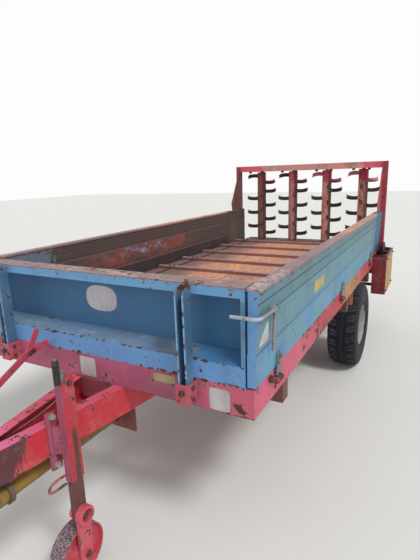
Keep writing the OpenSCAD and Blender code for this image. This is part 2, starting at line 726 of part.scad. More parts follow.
module inner_leg() color(dark_red) placed() difference() {
    centred(leg_w - 2 * leg_wall - 2 * leg_gap, leg_d - 2 * leg_wall - 2 * leg_gap, [jack_z - 40, leg_top - 160]);
    translate([0, leg_y, jack_z]) rod_x(leg_x - leg_w, leg_x + leg_w, pivot_r + run_gap);
}
module leg_crank() color(steel) placed() translate([leg_x, leg_y, leg_top]) {
    cylinder(h = 24, r = 12);
    rotate(-53) translate([-9, -9, 8]) cube([129, 18, 10]);
    translate([67, -89, 14]) cylinder(h = 110, r = 15);
}

module support_arm() color(red) placed() {
    hub_y = leg_y - arm_lead;
    translate([0, leg_y, jack_z]) rod_x(leg_x - leg_w / 2 - 10, arm_x + arm_t, pivot_r);
    translate([0, leg_y, jack_z]) rod_x(leg_x - leg_w / 2 - 10, leg_x - leg_w / 2 + leg_wall - 0.3, 35);
    translate([0, hub_y, jack_r]) rod_x(jack_x - jack_w / 2 - 5, arm_x + arm_t + 8, 14);
    along_x(arm_x, arm_x + arm_t) limb([leg_y, jack_z], [hub_y, jack_r], 40, 36);
    translate([0, leg_y, jack_z]) difference() {
        rod_x(arm_x, arm_x + 34, 45);
        rod_x(arm_x + arm_t, arm_x + 35, 31);
    }
}

// Pressed steel wheel: rim band, disc near its left face, hub
module support_wheel() color(dark_red) placed() translate([jack_x, leg_y - arm_lead, jack_r]) rotate([0, 90, 0])
    rotate_extrude($fn = 72) translate([0, -jack_w / 2]) polygon([[14 + run_gap, 0], [32, 0], [32, jack_w - 24],
        [jack_r - 8, jack_w - 24], [jack_r - 8, 0], [jack_r, 0], [jack_r, jack_w], [jack_r - 8, jack_w],
        [jack_r - 14, jack_w - 14], [60, jack_w - 14], [34, jack_w], [14 + run_gap, jack_w]]);

// Road wheels: the tread's gaps are cut in both shoulders, half a pitch apart
module tyre() translate([0, axle_y, tyre_r]) rotate([0, 90, 0]) difference() {
    rotate_extrude($fn = 96) translate([0, tyre_in]) polygon([[rim_r + seat, 30], [rim_r + 40, 12], [rim_r + 110, 0],
        [tyre_r - 60, 4], [tyre_r - 12, 20], [tyre_r, 44], [tyre_r, tyre_w - 44], [tyre_r - 12, tyre_w - 20],
        [tyre_r - 60, tyre_w - 4], [rim_r + 110, tyre_w], [rim_r + 40, tyre_w - 12], [rim_r + seat, tyre_w - 30]]);
    for (side = [0, 1]) for (i = [0:lug_n - 1])
        rotate((i + side / 2) * 360 / lug_n) translate([tyre_r - lug_d, 0, tyre_in + side * tyre_w])
            rotate([side * 36 - 18, 0, 0]) translate([0, -17, -tyre_w * 0.34]) cube([40, 34, tyre_w * 0.68]);
}
module left_tyre() color(black) placed() tyre();
module right_tyre() color(black) placed() on_right() tyre();
// Wheel: rim, dished disc with hand holes, hub; the columns are shares of the rim's radius and the tyre's width
module wheel() translate([0, axle_y, tyre_r]) rotate([0, 90, 0]) difference() {
    rotate_extrude($fn = 96) translate([0, tyre_in]) polygon(concat([[spindle_r + run_gap, 0]],
        [for (p = [[0.31, 0], [0.31, 0.55], [0.56, 0.55], [0.67, 0.44], [0.94, 0.44], [0.94, 0.08], [1, 0.08],
            [1, 0.92], [0.94, 0.92], [0.94, 0.5], [0.7, 0.5], [0.6, 0.61], [0.26, 0.61], [0.26, 0.7], [0, 0.7],
            [0, 0.58]]) [p[0] * rim_r, p[1] * tyre_w]],
        [[spindle_r + run_gap, 0.58 * tyre_w]]));
    for (a = [0:60:300]) rotate(a) translate([0.82 * rim_r, 0, tyre_in]) cylinder(h = tyre_w, r = 0.07 * rim_r);
}
module left_wheel() color(pale) placed() wheel();
module right_wheel() color(pale) placed() on_right() wheel();

front_sill();
left_sill();
right_sill();
rear_sill();
cross_members();
under_beams();
left_draw_beam();
right_draw_beam();
draw_head();
towing_eye();
axle();
floor_planks();
floor_conveyor();
floor_slats();
floor_shafts();
front_board();
front_uprights();
upright_feet();
rear_side_panels();
rear_posts();
wing_plates();
top_beam();
beater_bearings();
drive_beam();
drive_line();
chain_guard();
guard_drive();
shaft_bracket();
shaft_guard();
shaft_rest();
brake_lever();
leg_tube();
leg_crank();
inner_leg();
support_arm();
support_wheel();
left_drop_side();
right_drop_side();
left_hinge_straps();
right_hinge_straps();
left_corner_latch();
right_corner_latch();
beater_1();
beater_2();
beater_3();
beater_4();
left_tyre();
right_tyre();
left_wheel();
right_wheel();
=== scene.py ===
import math

import bmesh
import bpy
import numpy as np
from mathutils import Matrix, Vector


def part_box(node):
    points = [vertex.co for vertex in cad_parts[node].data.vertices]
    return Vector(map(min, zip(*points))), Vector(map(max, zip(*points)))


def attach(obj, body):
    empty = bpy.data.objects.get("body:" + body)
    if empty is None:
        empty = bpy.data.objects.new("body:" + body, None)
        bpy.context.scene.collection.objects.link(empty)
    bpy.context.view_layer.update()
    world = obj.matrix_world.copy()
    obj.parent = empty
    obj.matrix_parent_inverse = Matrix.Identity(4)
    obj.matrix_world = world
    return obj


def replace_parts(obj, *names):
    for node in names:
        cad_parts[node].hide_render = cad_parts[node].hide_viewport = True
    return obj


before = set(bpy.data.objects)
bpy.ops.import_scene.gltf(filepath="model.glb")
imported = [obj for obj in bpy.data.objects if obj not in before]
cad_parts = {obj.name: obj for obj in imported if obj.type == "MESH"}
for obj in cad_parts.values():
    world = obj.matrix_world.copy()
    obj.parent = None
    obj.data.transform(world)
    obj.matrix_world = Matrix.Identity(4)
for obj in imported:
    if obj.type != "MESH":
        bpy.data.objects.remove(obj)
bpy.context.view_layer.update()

# ---- Camera: at eye height, ahead of the machine's left front corner, looking a little down over the boards.
# The lens keeps the picture's own width of view, measured in pixels, on its long, upright side.
eye_place = Vector((1.4976, -3.1326, 1.8495))
yaw, pitch, roll = -0.5007, -0.2382, -0.0323
ahead = Vector((math.sin(yaw) * math.cos(pitch), math.cos(yaw) * math.cos(pitch), math.sin(pitch)))
aside = Vector((math.cos(yaw), -math.sin(yaw), 0))
above = aside.cross(ahead)
aside, above = math.cos(roll) * aside + math.sin(roll) * above, math.cos(roll) * above - math.sin(roll) * aside
camera = bpy.data.objects.new("camera", bpy.data.cameras.new("camera"))
camera.matrix_world = Matrix.Translation(eye_place) @ Matrix((aside, above, -ahead)).transposed().to_4x4()
focal_pixels, pixels_high, sensor = 427.04, 560, 36
camera.data.lens, camera.data.sensor_width = focal_pixels * sensor / pixels_high, sensor
camera.data.clip_end = 200
bpy.context.scene.collection.objects.link(camera)
bpy.context.scene.camera = camera
bpy.context.scene.view_settings.view_transform = "Standard"


# ---- Studio: a wide pale floor under the tyres, an even sky, and one broad lamp high on the machine's left.
# Together they light a face turned upwards at about the level at which its colour is written.
mid_x = (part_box("towing_eye")[0].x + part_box("towing_eye")[1].x) / 2
board_y, box_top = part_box("front_sill")[0].y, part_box("front_board")[1].z


def worked(operation, other_first=False):
    """A method that adds the Math node of that operation, for two Tones or a Tone and a number."""
    def method(self, other):
        inputs = (other, self) if other_first else (self, other)
        return self.paint.node("Math", {"operation": operation}, *inputs)
    return method


class Tone:
    """One value inside a material. It adds, takes away, multiplies, divides and raises as a number does."""
    __add__ = __radd__ = worked("ADD")
    __mul__ = __rmul__ = worked("MULTIPLY")
    __sub__, __rsub__ = worked("SUBTRACT"), worked("SUBTRACT", True)
    __truediv__, __pow__ = worked("DIVIDE"), worked("POWER")

    def __init__(self, paint, socket):
        self.paint, self.socket = paint, socket

    def of(self, operation, *others):
        return self.paint.node("Math", {"operation": operation}, self, *others)

    def rise(self, low, high):
        """0 below low and 1 above high, smooth between, or the other way round where low is above high."""
        flip = low > high
        made = self.paint.node("MapRange", {"interpolation_type": "SMOOTHSTEP"}, self, *sorted((low, high)))
        return 1 - made if flip else made

    def near(self, middle, reach):
        """1 at middle, falling to 0 at reach from it."""
        return (self - middle).of("ABSOLUTE").rise(reach, 0)


class Mixture:
    """The nodes of a material or of the sky."""

    def __init__(self, tree):
        self.tree = tree

    def feed(self, socket, value):
        """Links a Tone to a socket, or sets a number, a vector or a colour on it."""
        if isinstance(value, Tone):
            self.tree.links.new(value.socket, socket)
        else:
            socket.default_value = seen(value) if isinstance(value, str) else value

    def node(self, kind, settings=None, *inputs, at=range(9), out=0, **named):
        """Adds a shader node, sets it, feeds its inputs by place and by name, and gives its output."""
        made = self.tree.nodes.new("ShaderNode" + kind)
        for key, value in (settings or {}).items():
            setattr(made, key, value)
        for key, value in [*zip(at, inputs), *named.items()]:
            self.feed(made.inputs[key], value)
        return Tone(self, made.outputs[out])


class Paint(Mixture):
    """One finish being mixed. Its place is the Object coordinate, in metres. side and back count from the
    machine's middle and from the box's front, out is side without its sign, under counts down from the top."""

    def __init__(self, name):
        self.material = bpy.data.materials.new(name)
        self.material.use_nodes = True
        super().__init__(self.material.node_tree)
        self.shader = self.tree.nodes["Principled BSDF"]
        self.place = self.node("TexCoord", out="Object")
        self.x, self.y, self.z = (self.node("SeparateXYZ", {}, self.place, out=i) for i in range(3))
        self.side, self.back, self.under = self.x - mid_x, self.y - board_y, box_top - self.z
        self.out = self.side.of("ABSOLUTE")

    def noise(self, scale, detail=3, rough=0.55, stretch=(1, 1, 1), shift=0.0):
        """Cloudy noise about 0.5, with scale clouds a metre, stretched where an axis of stretch is below 1."""
        shifts = (shift, shift * 2, shift * 3)
        at = self.node("VectorMath", {"operation": "MULTIPLY_ADD"}, self.place, stretch, shifts)
        return self.node("TexNoise", {}, Vector=at, Scale=scale, Detail=detail, Roughness=rough)

    def mix(self, share, a, b):
        """Colour a where share is 0 and b where it is 1."""
        return self.node("Mix", {"data_type": "RGBA"}, share, a, b, at=(0, 6, 7), out=2)

    def set(self, **sockets):
        """Feeds the shader's sockets, with _ for a space in a name, and gives the material."""
        for key, value in sockets.items():
            self.feed(self.shader.inputs[key.replace("_", " ")], value)
        return self.material

    def relief(self, height, depth):
        """A bump whose whole height is depth metres."""
        return self.node("Bump", {}, Strength=1.0, Distance=depth, Height=height, out="Normal")


def seen(colour):
    """The light that a colour stands for, given as it shows in a picture, in two hexadecimal digits each."""
    return (*(((c / 255 + 0.055) / 1.055) ** 2.4 if c > 10 else c / 3294.6 for c in bytes.fromhex(colour)), 1)


def surface(name, points, faces, material, body=None, slot=None):
    """A mesh from an array of points and an array of faces that all have the same number of corners."""
    mesh = bpy.data.meshes.new(name)
    mesh.from_pydata(np.asarray(points, float).reshape(-1, 3), [], np.asarray(faces, int).tolist())
    mesh.polygons.foreach_set("use_smooth", np.ones(len(mesh.polygons), bool))
    mesh.materials.append(material)
    made = bpy.data.objects.new(name, mesh)
    bpy.context.scene.collection.objects.link(made)
    if body:
        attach(made, body)
    return made


floor_paint = Paint("studio_floor")
floor_cloud = floor_paint.noise(0.8)
floor_paint.set(Base_Color=floor_paint.mix(floor_cloud, "e2e2de", "e8e8e5"), Roughness=0.9 - 0.1 * floor_cloud)
across = np.linspace(-40, 40, 3)
floor_grid = np.array([[x, y, 0] for y in across for x in across])
floor_faces = [[i, i + 1, i + 4, i + 3] for i in (0, 1, 3, 4)]
floor = surface("studio_floor", floor_grid, floor_faces, floor_paint.material)
sky = bpy.data.worlds.new("studio_sky")
sky.use_nodes = True
bpy.context.scene.world = sky
backing = sky.node_tree.nodes["Background"]
air = Mixture(sky.node_tree)
shown = air.node("LightPath", out="Is Camera Ray").of("MAXIMUM", air.node("LightPath", out="Is Glossy Ray"))
on_object, behind_it = 0.62, 0.98
air.feed(backing.inputs["Strength"], air.node("MapRange", {}, shown, 0, 1, on_object, behind_it))
backing.inputs["Color"].default_value = (1, 1, 1, 1)
lamp = bpy.data.objects.new("broad_lamp", bpy.data.lights.new("broad_lamp", "SUN"))
lamp.data.energy, lamp.data.angle = 1.5, math.radians(14)
lamp.rotation_mode = "QUATERNION"
lamp.rotation_quaternion = Vector((-0.62, 0.25, -0.9)).to_track_quat("-Z", "Y")
bpy.context.scene.collection.objects.link(lamp)


# ---- Sills and beams: channels of folded steel, welded into the frame that the box stands on.
# Sprayed red, gone pink where the weather reaches it, chipped down to brown steel; the left sill has a long
# yellowed stretch over the wheel. The channels are the solids themselves, and only their paint is made here.
sill_low, sill_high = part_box("front_sill")[0].z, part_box("front_sill")[1].z


def weathered(name, coats, chip=0.5, grime=0.35, extra=None, metal=0.0, gloss=0.5, grain=9, deep=0.0005,
              rim="967868", bloom="cdc3be"):
    """Old sprayed paint. coats are the fresh and the faded colour, bloom the chalk on them; chip is how much has
    come off, 0 to 1, and rim the colour round a chip. extra(paint) gives more wear, then by turns the share and
    the colour of each layer over the coat. grain counts the patches in a metre, deep is the relief's height."""
    paint = Paint(name)
    wear, *layers = extra(paint) if extra else (0.0,)
    cloud = paint.noise(1.7, 5, 0.6)
    patch = paint.noise(grain, 6, 0.65, shift=3.1)
    fine = paint.noise(grain * 5, 4, 0.7, shift=1.3)
    coat = paint.mix(cloud.rise(0.36, 0.64), *coats.split())
    coat = paint.mix((patch.rise(0.48, 0.8) + fine.rise(0.55, 0.8)) * 0.22, coat, bloom)
    for share, colour in zip(layers[::2], layers[1::2]):
        coat = paint.mix(share, coat, colour)
    spot = paint.noise(grain * 3.3, 4, 0.65, shift=5.9)
    limit = 0.99 - chip * 0.3
    worn = patch * 0.5 + spot * 0.75 + (fine - 0.5) * 0.3 + wear + 0.13
    bare = worn.rise(limit, limit + 0.02)
    coat = paint.mix(worn.rise(limit - 0.035, limit) * 0.45, coat, rim)
    rust = paint.mix(paint.noise(grain * 7, 4, 0.7), "362422", "704634")
    dirt = (paint.noise(5, 6, 0.7, (1, 1, 0.35), 7.7) - 0.5 + grime * 0.5).rise(0.08, 0.5)
    colour = paint.mix(bare, coat, rust)
    colour = paint.mix(dirt * 0.5, colour, "544a44")
    rough = gloss + 0.3 * bare + 0.15 * patch + 0.1 * dirt
    return paint.set(Base_Color=colour, Roughness=rough, Metallic=metal * bare,
                     Normal=paint.relief((1 - bare) * 0.7 + patch * 0.5 + fine * 0.25, deep))


def dress(nodes, finish, *how):
    """Gives CAD nodes their finish: a material, or the name of a weathered one and how it is made."""
    finish = weathered(finish, *how) if how else finish
    for node in nodes.split():
        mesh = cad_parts[node].data
        mesh.materials.clear()
        mesh.materials.append(finish)
    return finish


def front_sill_wear(paint):
    """Chips along both edges, one scar by the left corner, that end pinker and the rest clouded darker."""
    edge = paint.z.near(sill_high, 0.012) + paint.z.near(sill_low, 0.01)
    scar = paint.x.near(mid_x + 0.825, 0.04) * paint.z.near(sill_low + 0.045, 0.04)
    left_end = paint.side.rise(0.55, 0.72)
    return (edge * 0.1 + scar * 0.2,
            left_end * 0.6, "da627a",
            paint.noise(2.4, 4, shift=9).rise(0.4, 0.6) * (1 - left_end) * 0.6, "884e66")


def side_sill_wear(paint):
    """Chips along the edges, pinker in front; a yellowed stretch 1.8 to 2.9 metres behind the box's front."""
    edge = paint.z.near(sill_high, 0.014) + paint.z.near(sill_low, 0.014)
    back = paint.back + (paint.noise(4, 4, shift=2) - 0.5) * 0.3
    yellowed = back.rise(1.75, 2.0) * back.rise(2.9, 2.3) * paint.side.rise(-0.1, 0.1)
    ears = paint.out.rise(0.9015, 0.903)
    scarred = back.near(1.05, 0.35) * 0.05 - back.rise(0.75, 0.6) * 0.08
    return (edge * 0.08 + scarred,
            back.rise(1.2, 0.6) * 0.85, "d0627c",
            yellowed * 0.85, "b09254",
            yellowed * paint.noise(7, 5, shift=5).rise(0.5, 0.62) * 0.7, "963e30",
            ears * 0.3, "42322e")


def under_wear(paint):
    """Less chipped and pinker in front, between the drawbar's beams; outside them the dark red coat stays, a
    painted shade over the beams' ends.
    """
    in_front = paint.back.rise(0.8, 0.5)
    return -0.12 * in_front, in_front * paint.out.rise(0.55, 0.5) * 0.85, "b84058"


dress("front_sill", "front_sill_red", "aa4668 ba6280", 0.42, 0.25, front_sill_wear)
dress("left_sill right_sill", "side_sill_red", "be303e ca4858", 0.5, 0.35, side_sill_wear)
# The parts under the box keep a dark red coat that stands partly for painted shade there
dress("rear_sill cross_members under_beams", "under_red", "70282e 863c3c", 0.8, 0.8, under_wear)


# ---- Bolts: hexagon heads on round washers, rusted brown, each stopped at another turn when it was tightened.
# They hold the axle, the wheels, the slats, the uprights, the hinges, the beam, the gearbox, the guard, the lever
# and the leg.
def solid(name, shape, finish, body="chassis", slot="bare_steel", crease=35):
    """A surface whose doubled seams and poles are merged and whose faces are then turned outwards."""
    made = surface(name, *shape, finish, body, slot)
    work = bmesh.new()
    work.from_mesh(made.data)
    bmesh.ops.remove_doubles(work, verts=work.verts, dist=1e-6)
    bmesh.ops.dissolve_degenerate(work, edges=work.edges, dist=1e-7)
    bmesh.ops.recalc_face_normals(work, faces=work.faces)
    work.to_mesh(made.data)
    work.free()
    made.data.set_sharp_from_angle(angle=math.radians(crease))
    return made


def lattice(many, rows, around):
    """Faces of many grids of rows by around points, each closed on itself round its rows."""
    i, j = np.meshgrid(np.arange(rows - 1), np.arange(around), indexing="ij")
    k = (j + 1) % around
    here, after = i * around, (i + 1) * around
    quad = np.stack([here + j, here + k, after + k, after + j], -1).reshape(-1, 4)
    return (quad[None] + np.arange(many)[:, None, None] * rows * around).reshape(-1, 4)


def axes(along, up=(0, 0, 1)):
    """Two unit vectors square to each row of along, the first as near as can be to up."""
    along = along / np.linalg.norm(along, axis=-1, keepdims=True)
    up = np.broadcast_to(up, along.shape)
    up = np.where(np.abs((along * up).sum(-1, keepdims=True)) > 0.99, np.roll(along, 1, -1), up)
    first = up - along * (up * along).sum(-1, keepdims=True)
    first /= np.linalg.norm(first, axis=-1, keepdims=True)
    return first, np.cross(along, first)


def circle(count):
    """The angles of count places evenly round a circle."""
    return np.linspace(0, 2 * np.pi, count, endpoint=False)


def bolts(name, places, outward, across, body="chassis", slot="bare_steel", finish=None):
    """Bolt heads: a washer, then a hexagon whose edge lies at a / cos(t mod 60 - 30), domed at its top.
    places are their seats, outward their directions, across the width over the flats."""
    places, outward = np.atleast_2d(places).astype(float), np.atleast_2d(outward).astype(float)
    outward = np.broadcast_to(outward, places.shape) / np.linalg.norm(outward, axis=-1, keepdims=True)
    turn = np.arange(12) * np.pi / 6
    hexagon = 1 / np.cos(turn % (np.pi / 3) - np.pi / 6) * across / 2
    washer = np.full(12, across * 0.72)
    rings = np.array([0 * washer, washer, washer, hexagon, hexagon, hexagon * 0.86, hexagon * 0.4, 0 * washer])
    rise = np.array([-0.02, -0.02, 0.12, 0.12, 0.62, 0.72, 0.76, 0.76]) * across
    first, second = axes(outward)
    tilt = (turn[None] + np.arange(len(places))[:, None] * 0.37)[:, None, :, None]
    middles = places[:, None, None] + rise[None, :, None, None] * outward[:, None, None]
    spokes = np.cos(tilt) * first[:, None, None] + np.sin(tilt) * second[:, None, None]
    points = middles + rings[None, :, :, None] * spokes
    return solid(name, (points, lattice(len(places), 8, 12)), finish or bolt_rust, body, slot)


def G(x, y, z):
    """A place given in millimetres from the machine's middle, the box's front and the floor."""
    return np.stack(np.broadcast_arrays(mid_x + np.asarray(x) / 1000, board_y + np.asarray(y) / 1000,
                                        np.asarray(z) / 1000), -1).astype(float)


bolt_rust = weathered("bolt_rust", "423230 5c463e", 0.9, 0.6, None, 0.4, 0.6, 60, 0.0003)
bolt_red = weathered("bolt_red", "962832 783c3c", 0.9, 0.4, None, 0.2, 0.5, 60, 0.0003)


# ---- Blank plates: plain stickers on the sill and the side, and an oval one on the front board.
# Each is a rounded sheet about a millimetre thick, faded white, yellow or orange, with dirt on it.
def film(middle, edge, out, sizes, lifts):
    """Points and faces of a thin plate: edge about middle, times each of sizes and lifted along out."""
    points = middle + edge * np.array(sizes)[:, None, None] + np.array(lifts)[:, None, None] * out
    return points.reshape(-1, 3), lattice(1, len(sizes), len(edge))


def squared(a, power):
    """a to that power with its sign kept, which squares off a cosine or a sine."""
    return np.sign(a) * np.abs(a) ** power


def blank(name, middle, right, up, wide, high, round_by, coat, body="chassis", thick=0.0012, slot=None):
    """A thin, slightly crowned plate whose edge is the superellipse |u|^n + |v|^n = 1, with n = round_by."""
    u, v = squared(np.cos(circle(48)), 2 / round_by), squared(np.sin(circle(48)), 2 / round_by)
    edge = np.outer(u * wide / 2, right) + np.outer(v * high / 2, up)
    plate = film(middle, edge, np.cross(right, up), [0, 1, 1, 0.97, 0.6, 0],
                 np.array([-0.2, -0.2, 0.7, 1, 1.15, 1.2]) * thick)
    return solid(name, plate, weathered(name + "_film", coat, 0.12, 0.5, None, 0, 0.35, 30, 0.0002), body, slot)


white = "d6d0d6 c4bec4"
front = (1, 0, 0), (0, 0, 1)
blank("sill_square", G(-55, -0.2, 883), *front, 0.108, 0.108, 12, white)
blank("sill_round_square", G(733, -0.2, 873), *front, 0.104, 0.108, 7, white)
blank("sill_strip", G(436, -0.2, 916), *front, 0.124, 0.04, 10, "beb28c aaa078")
blank("panel_oval", G(-10, 99.8, 1240), *front, 0.21, 0.14, 2.6, white)
# A short orange strap hangs from the left sill's lower flange, ahead of the wheel.
blank("sill_strap", G(884, 2290, sill_low * 1000 - 62), *front, 0.03, 0.13, 14, "dc7a4c c86842",
      "chassis", 0.003, "red_frame")


# ---- Drawbar: two channels that run together in a V from under the axle to the eye, with a welded head.
# Bright red with pinkish tops; the front half of their outer faces is darkened to near black.
def drawbar_wear(paint):
    """Pink on faces that look up, chips along their edges, and near black ahead of a slanting, streaky line."""
    top = paint.z.rise(0.806, 0.811)
    edge = paint.z.near(0.812, 0.022) * paint.noise(40, 4, 0.7).rise(0.4, 0.6)
    ahead_of = board_y - paint.y
    bloom = ahead_of.rise(0.35, 0.75) * top
    streaks = (paint.noise(26, 5, 0.8, (1, 1, 0.07), 4) - 0.5) * 0.30
    dark_front = (ahead_of - (0.81 - paint.z) * 0.5 + streaks).rise(0.50, 0.53)
    return (edge * 0.14 - top * 0.04,
            top * 0.85, "d65c74",
            bloom * 0.8, "e47ab0",
            dark_front * (1 - top) * 0.9, "462e32")


dress("left_draw_beam right_draw_beam draw_head", "drawbar_red", "c01e2e c83242", 0.36, 0.15, drawbar_wear)
dress("towing_eye", "worn_steel", "605450 847064", 0.6, 0.5, None, 0.6, 0.45, 14)


def tube(path, radius, around=12, ref=(0, 0, 1)):
    """Points and faces of a round bar along path; radius is one number or one for each point of the path.
    Each ring stands square to the path's direction there, and both ends close in a point."""
    path = np.asarray(path, float)
    along = np.gradient(path, axis=0)
    first, second = axes(along, ref)
    radius = np.broadcast_to(radius, len(path))[:, None, None]
    turn = circle(around)[None, :, None]
    rings = path[:, None] + radius * (np.cos(turn) * first[:, None] + np.sin(turn) * second[:, None])
    points = np.concatenate([np.repeat(path[:1, None], around, 1), rings, np.repeat(path[-1:, None], around, 1)])
    return points.reshape(-1, 3), lattice(1, len(path) + 2, around)


def joined(*shapes):
    """Several pairs of points and faces as one pair."""
    starts = np.cumsum([0] + [len(points) for points, _ in shapes[:-1]])
    return np.concatenate([points for points, _ in shapes]), np.concatenate(
        [faces + start for (_, faces), start in zip(shapes, starts)])


def rounded(corners, times=3):
    """The path through corners with every corner cut off at a quarter of its sides, times over, its ends kept."""
    path = np.asarray(corners, float)
    for _ in range(times):
        cut = np.stack([path[:-1] * 0.75 + path[1:] * 0.25, path[:-1] * 0.25 + path[1:] * 0.75], 1).reshape(-1, 3)
        path = np.concatenate([path[:1], cut, path[-1:]])
    return path


rod_pale = weathered("rod_pale", "a88c8a 8c706c", 0.5, 0.5, None, 0.3, 0.5, 30)
rod_path = rounded(G([-70, -64, -150, -240, -330], [-560, -300, -40, 200, 2480], [760, 770, 776, 560, 420]))
solid("brake_rod", tube(rod_path, 0.0035), rod_pale)


# ---- Axle: a square bar under the drawbar, with pedestals welded on and spindles that the wheels turn on.
# Dark red, caked with soil; four clamping bolts stand by each pedestal's foot.
dress("axle", "axle_red", "68282c 5c3a34", 0.7, 0.9)
pedestal_x = np.repeat([-1.0, 1.0], 4) * np.tile([527, 587], 4)
feet_y = 2620 + np.array([-52, -52, 52, 52] * 2)
bolts("axle_bolts", G(pedestal_x, feet_y, 440), (0, 0, 1), 0.022, "chassis", "red_under")


# ---- Tyres: cross-ply farm tyres with a plain rib round the middle and bars that run out over the shoulders.
# Dull black rubber, grey with dust on the walls, bluish grey on the bars with dust and a painted sheen of the
# sky, and darker between the bars.
tyre_r, tyre_w, rim_r, lug_n, lug_d = 0.4, 0.27, 0.195, 26, 0.013
axle_y, axle_z, tyre_x = 2620.0, 400.0, 820.0


def about(paint, y, z):
    """How far back and how high, in metres, from an axle across the machine, and the distance from it."""
    y, z = paint.y - (board_y + y / 1000), paint.z - z / 1000
    return y, z, (y * y + z * z) ** 0.5


def rubber_wear(paint):
    """Dark soil between the bars, that is below the tread's full radius, dust on the walls, and on the bars dust
    with a bluish painted sheen of the sky.
    """
    y, z, out = about(paint, axle_y, axle_z)
    rings = (out * 190).of("SINE") * 0.5 + 0.5
    soil = out.rise(tyre_r - 0.002, tyre_r - 0.010) * out.rise(0.30, 0.37)
    soil = soil * paint.noise(11, 5, 0.7).rise(0.35, 0.6)
    signed = paint.side - paint.side.of("SIGN") * (tyre_x / 1000)
    across = signed.of("ABSOLUTE")
    phase = z.of("ARCTAN2", y) * (lug_n / (2 * math.pi)) + (signed.of("SIGN") + 1) * 0.25 + across * 0.32 * (
        lug_n / (2 * math.pi * tyre_r))
    whole = (phase + (0.5 + lug_n)).of("FRACT").near(0.5, 0.12).rise(1, 0.2)
    bars = out.rise(tyre_r - 0.011, tyre_r - 0.006) * across.rise(0.045, 0.055)
    bars = bars * paint.noise(14, 4).rise(0.3, 0.6)
    return (-0.6,
            out.rise(0.36, 0.26) * rings * 0.25, "3a3c40",
            # Dust and a bluish painted sheen of the sky on the bars
            bars * whole * 0.8, "3c3e4e",
            soil * 0.6, "14161c",
            paint.noise(30, 4, 0.7, shift=6).rise(0.55, 0.75) * 0.3, "383a42")


rubber = weathered("tyre_rubber", "060a12 0e131c", 0.0, 0.0, rubber_wear, 0, 0.7, 22, 0.0012, bloom="323446")


def clipped(height, slope):
    """height over slope, kept between 0 and 1."""
    return np.clip(height / slope, 0, 1)


def tyre(which, side):
    """Radius over width and turn: a bulging section, cut back to tyre_r - lug_d where a gap between bars passes.
    The gaps lie lug_n to a turn on each shoulder, half a pitch apart, and slant with distance from the middle.
    Each bar is split by a narrow cut, and a wavy groove runs round the tread on each side of its middle."""
    half = tyre_w / 2
    wall = np.array([[0, rim_r + 0.0003], [half - 0.03, rim_r + 0.0003], [half - 0.02, rim_r + 0.018],
                     [half - 0.01, rim_r + 0.04], [half, rim_r + 0.11], [half - 0.003, tyre_r - 0.06],
                     [half - 0.01, tyre_r - 0.03], [half - 0.02, tyre_r - 0.012], [half - 0.03, tyre_r - 0.005],
                     [half - 0.044, tyre_r - 0.0005], [0.05, tyre_r]])
    steps = np.linspace(0, len(wall) - 1, 34)
    section = np.stack([np.interp(steps, np.arange(len(wall)), wall[:, i]) for i in (0, 1)], -1)
    inner = np.linspace([0.048, tyre_r], [-0.048, tyre_r], 33)
    section = np.concatenate([section, inner, section[::-1] * (-1, 1)])
    across, out = section[:, :1], section[:, 1:]
    apart, turn, pitch = np.abs(across), circle(lug_n * 20)[None], 2 * np.pi * tyre_r / lug_n
    phase = turn * lug_n / (2 * np.pi) + np.where(across > 0, 0.5, 0) + apart * 0.32 / pitch
    gap = clipped(0.022 - np.abs(phase % 1 - 0.5) * pitch, 0.007) * clipped(apart - 0.042, 0.006)
    split = clipped(0.009 - np.abs((phase + 0.5) % 1 - 0.5) * pitch, 0.004) * clipped(apart - 0.06, 0.006)
    groove = clipped(0.0045 - np.abs(apart - (0.028 + 0.005 * np.sin(turn * lug_n * 2))), 0.002)
    out = out - gap * np.clip(out - (tyre_r - lug_d), 0, 1)
    out = out - np.maximum(split * 0.007, groove * 0.006) * (out > tyre_r - lug_d)
    x = mid_x + side * tyre_x / 1000 + across + 0 * turn
    points = np.stack([x, board_y + axle_y / 1000 + out * np.cos(turn), axle_z / 1000 + out * np.sin(turn)], -1)
    shape = points, lattice(1, len(section), lug_n * 20)
    made = solid(which + "_tyre_tread", shape, rubber, which + "_road_wheel", "tyre_rubber", 30)
    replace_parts(made, which + "_tyre")


tyre("left", 1)
tyre("right", -1)


# ---- Wheels: pressed steel rims with a dished disc, hubs, hand holes and six nuts on studs.
# Sprayed off-white, now pinkish with dust, with rust weeping from the nuts and round the rim's rolled edge.
def turned(profile, centre, along, around=48):
    """A profile of (along, radius) pairs turned about the line through centre."""
    profile = np.asarray(profile, float)
    along = np.asarray(along, float)
    first, second = axes(along[None])
    turn = circle(around)[None, :, None]
    ring = np.cos(turn) * first + np.sin(turn) * second
    points = np.asarray(centre) + profile[:, :1, None] * along + profile[:, 1:, None] * ring
    return points.reshape(-1, 3), lattice(1, len(profile), around)


nut_r = 86.0


def rim_wear(paint):
    """Rust round the nuts and along the rim's edge, and grey-brown dust in the dish."""
    *_, out = about(paint, axle_y, axle_z)
    return out.near(nut_r / 1000, 0.03) * 0.3 + out.near(rim_r, 0.012) * 0.3, out.rise(0.19, 0.1) * 0.4, "968e8a"


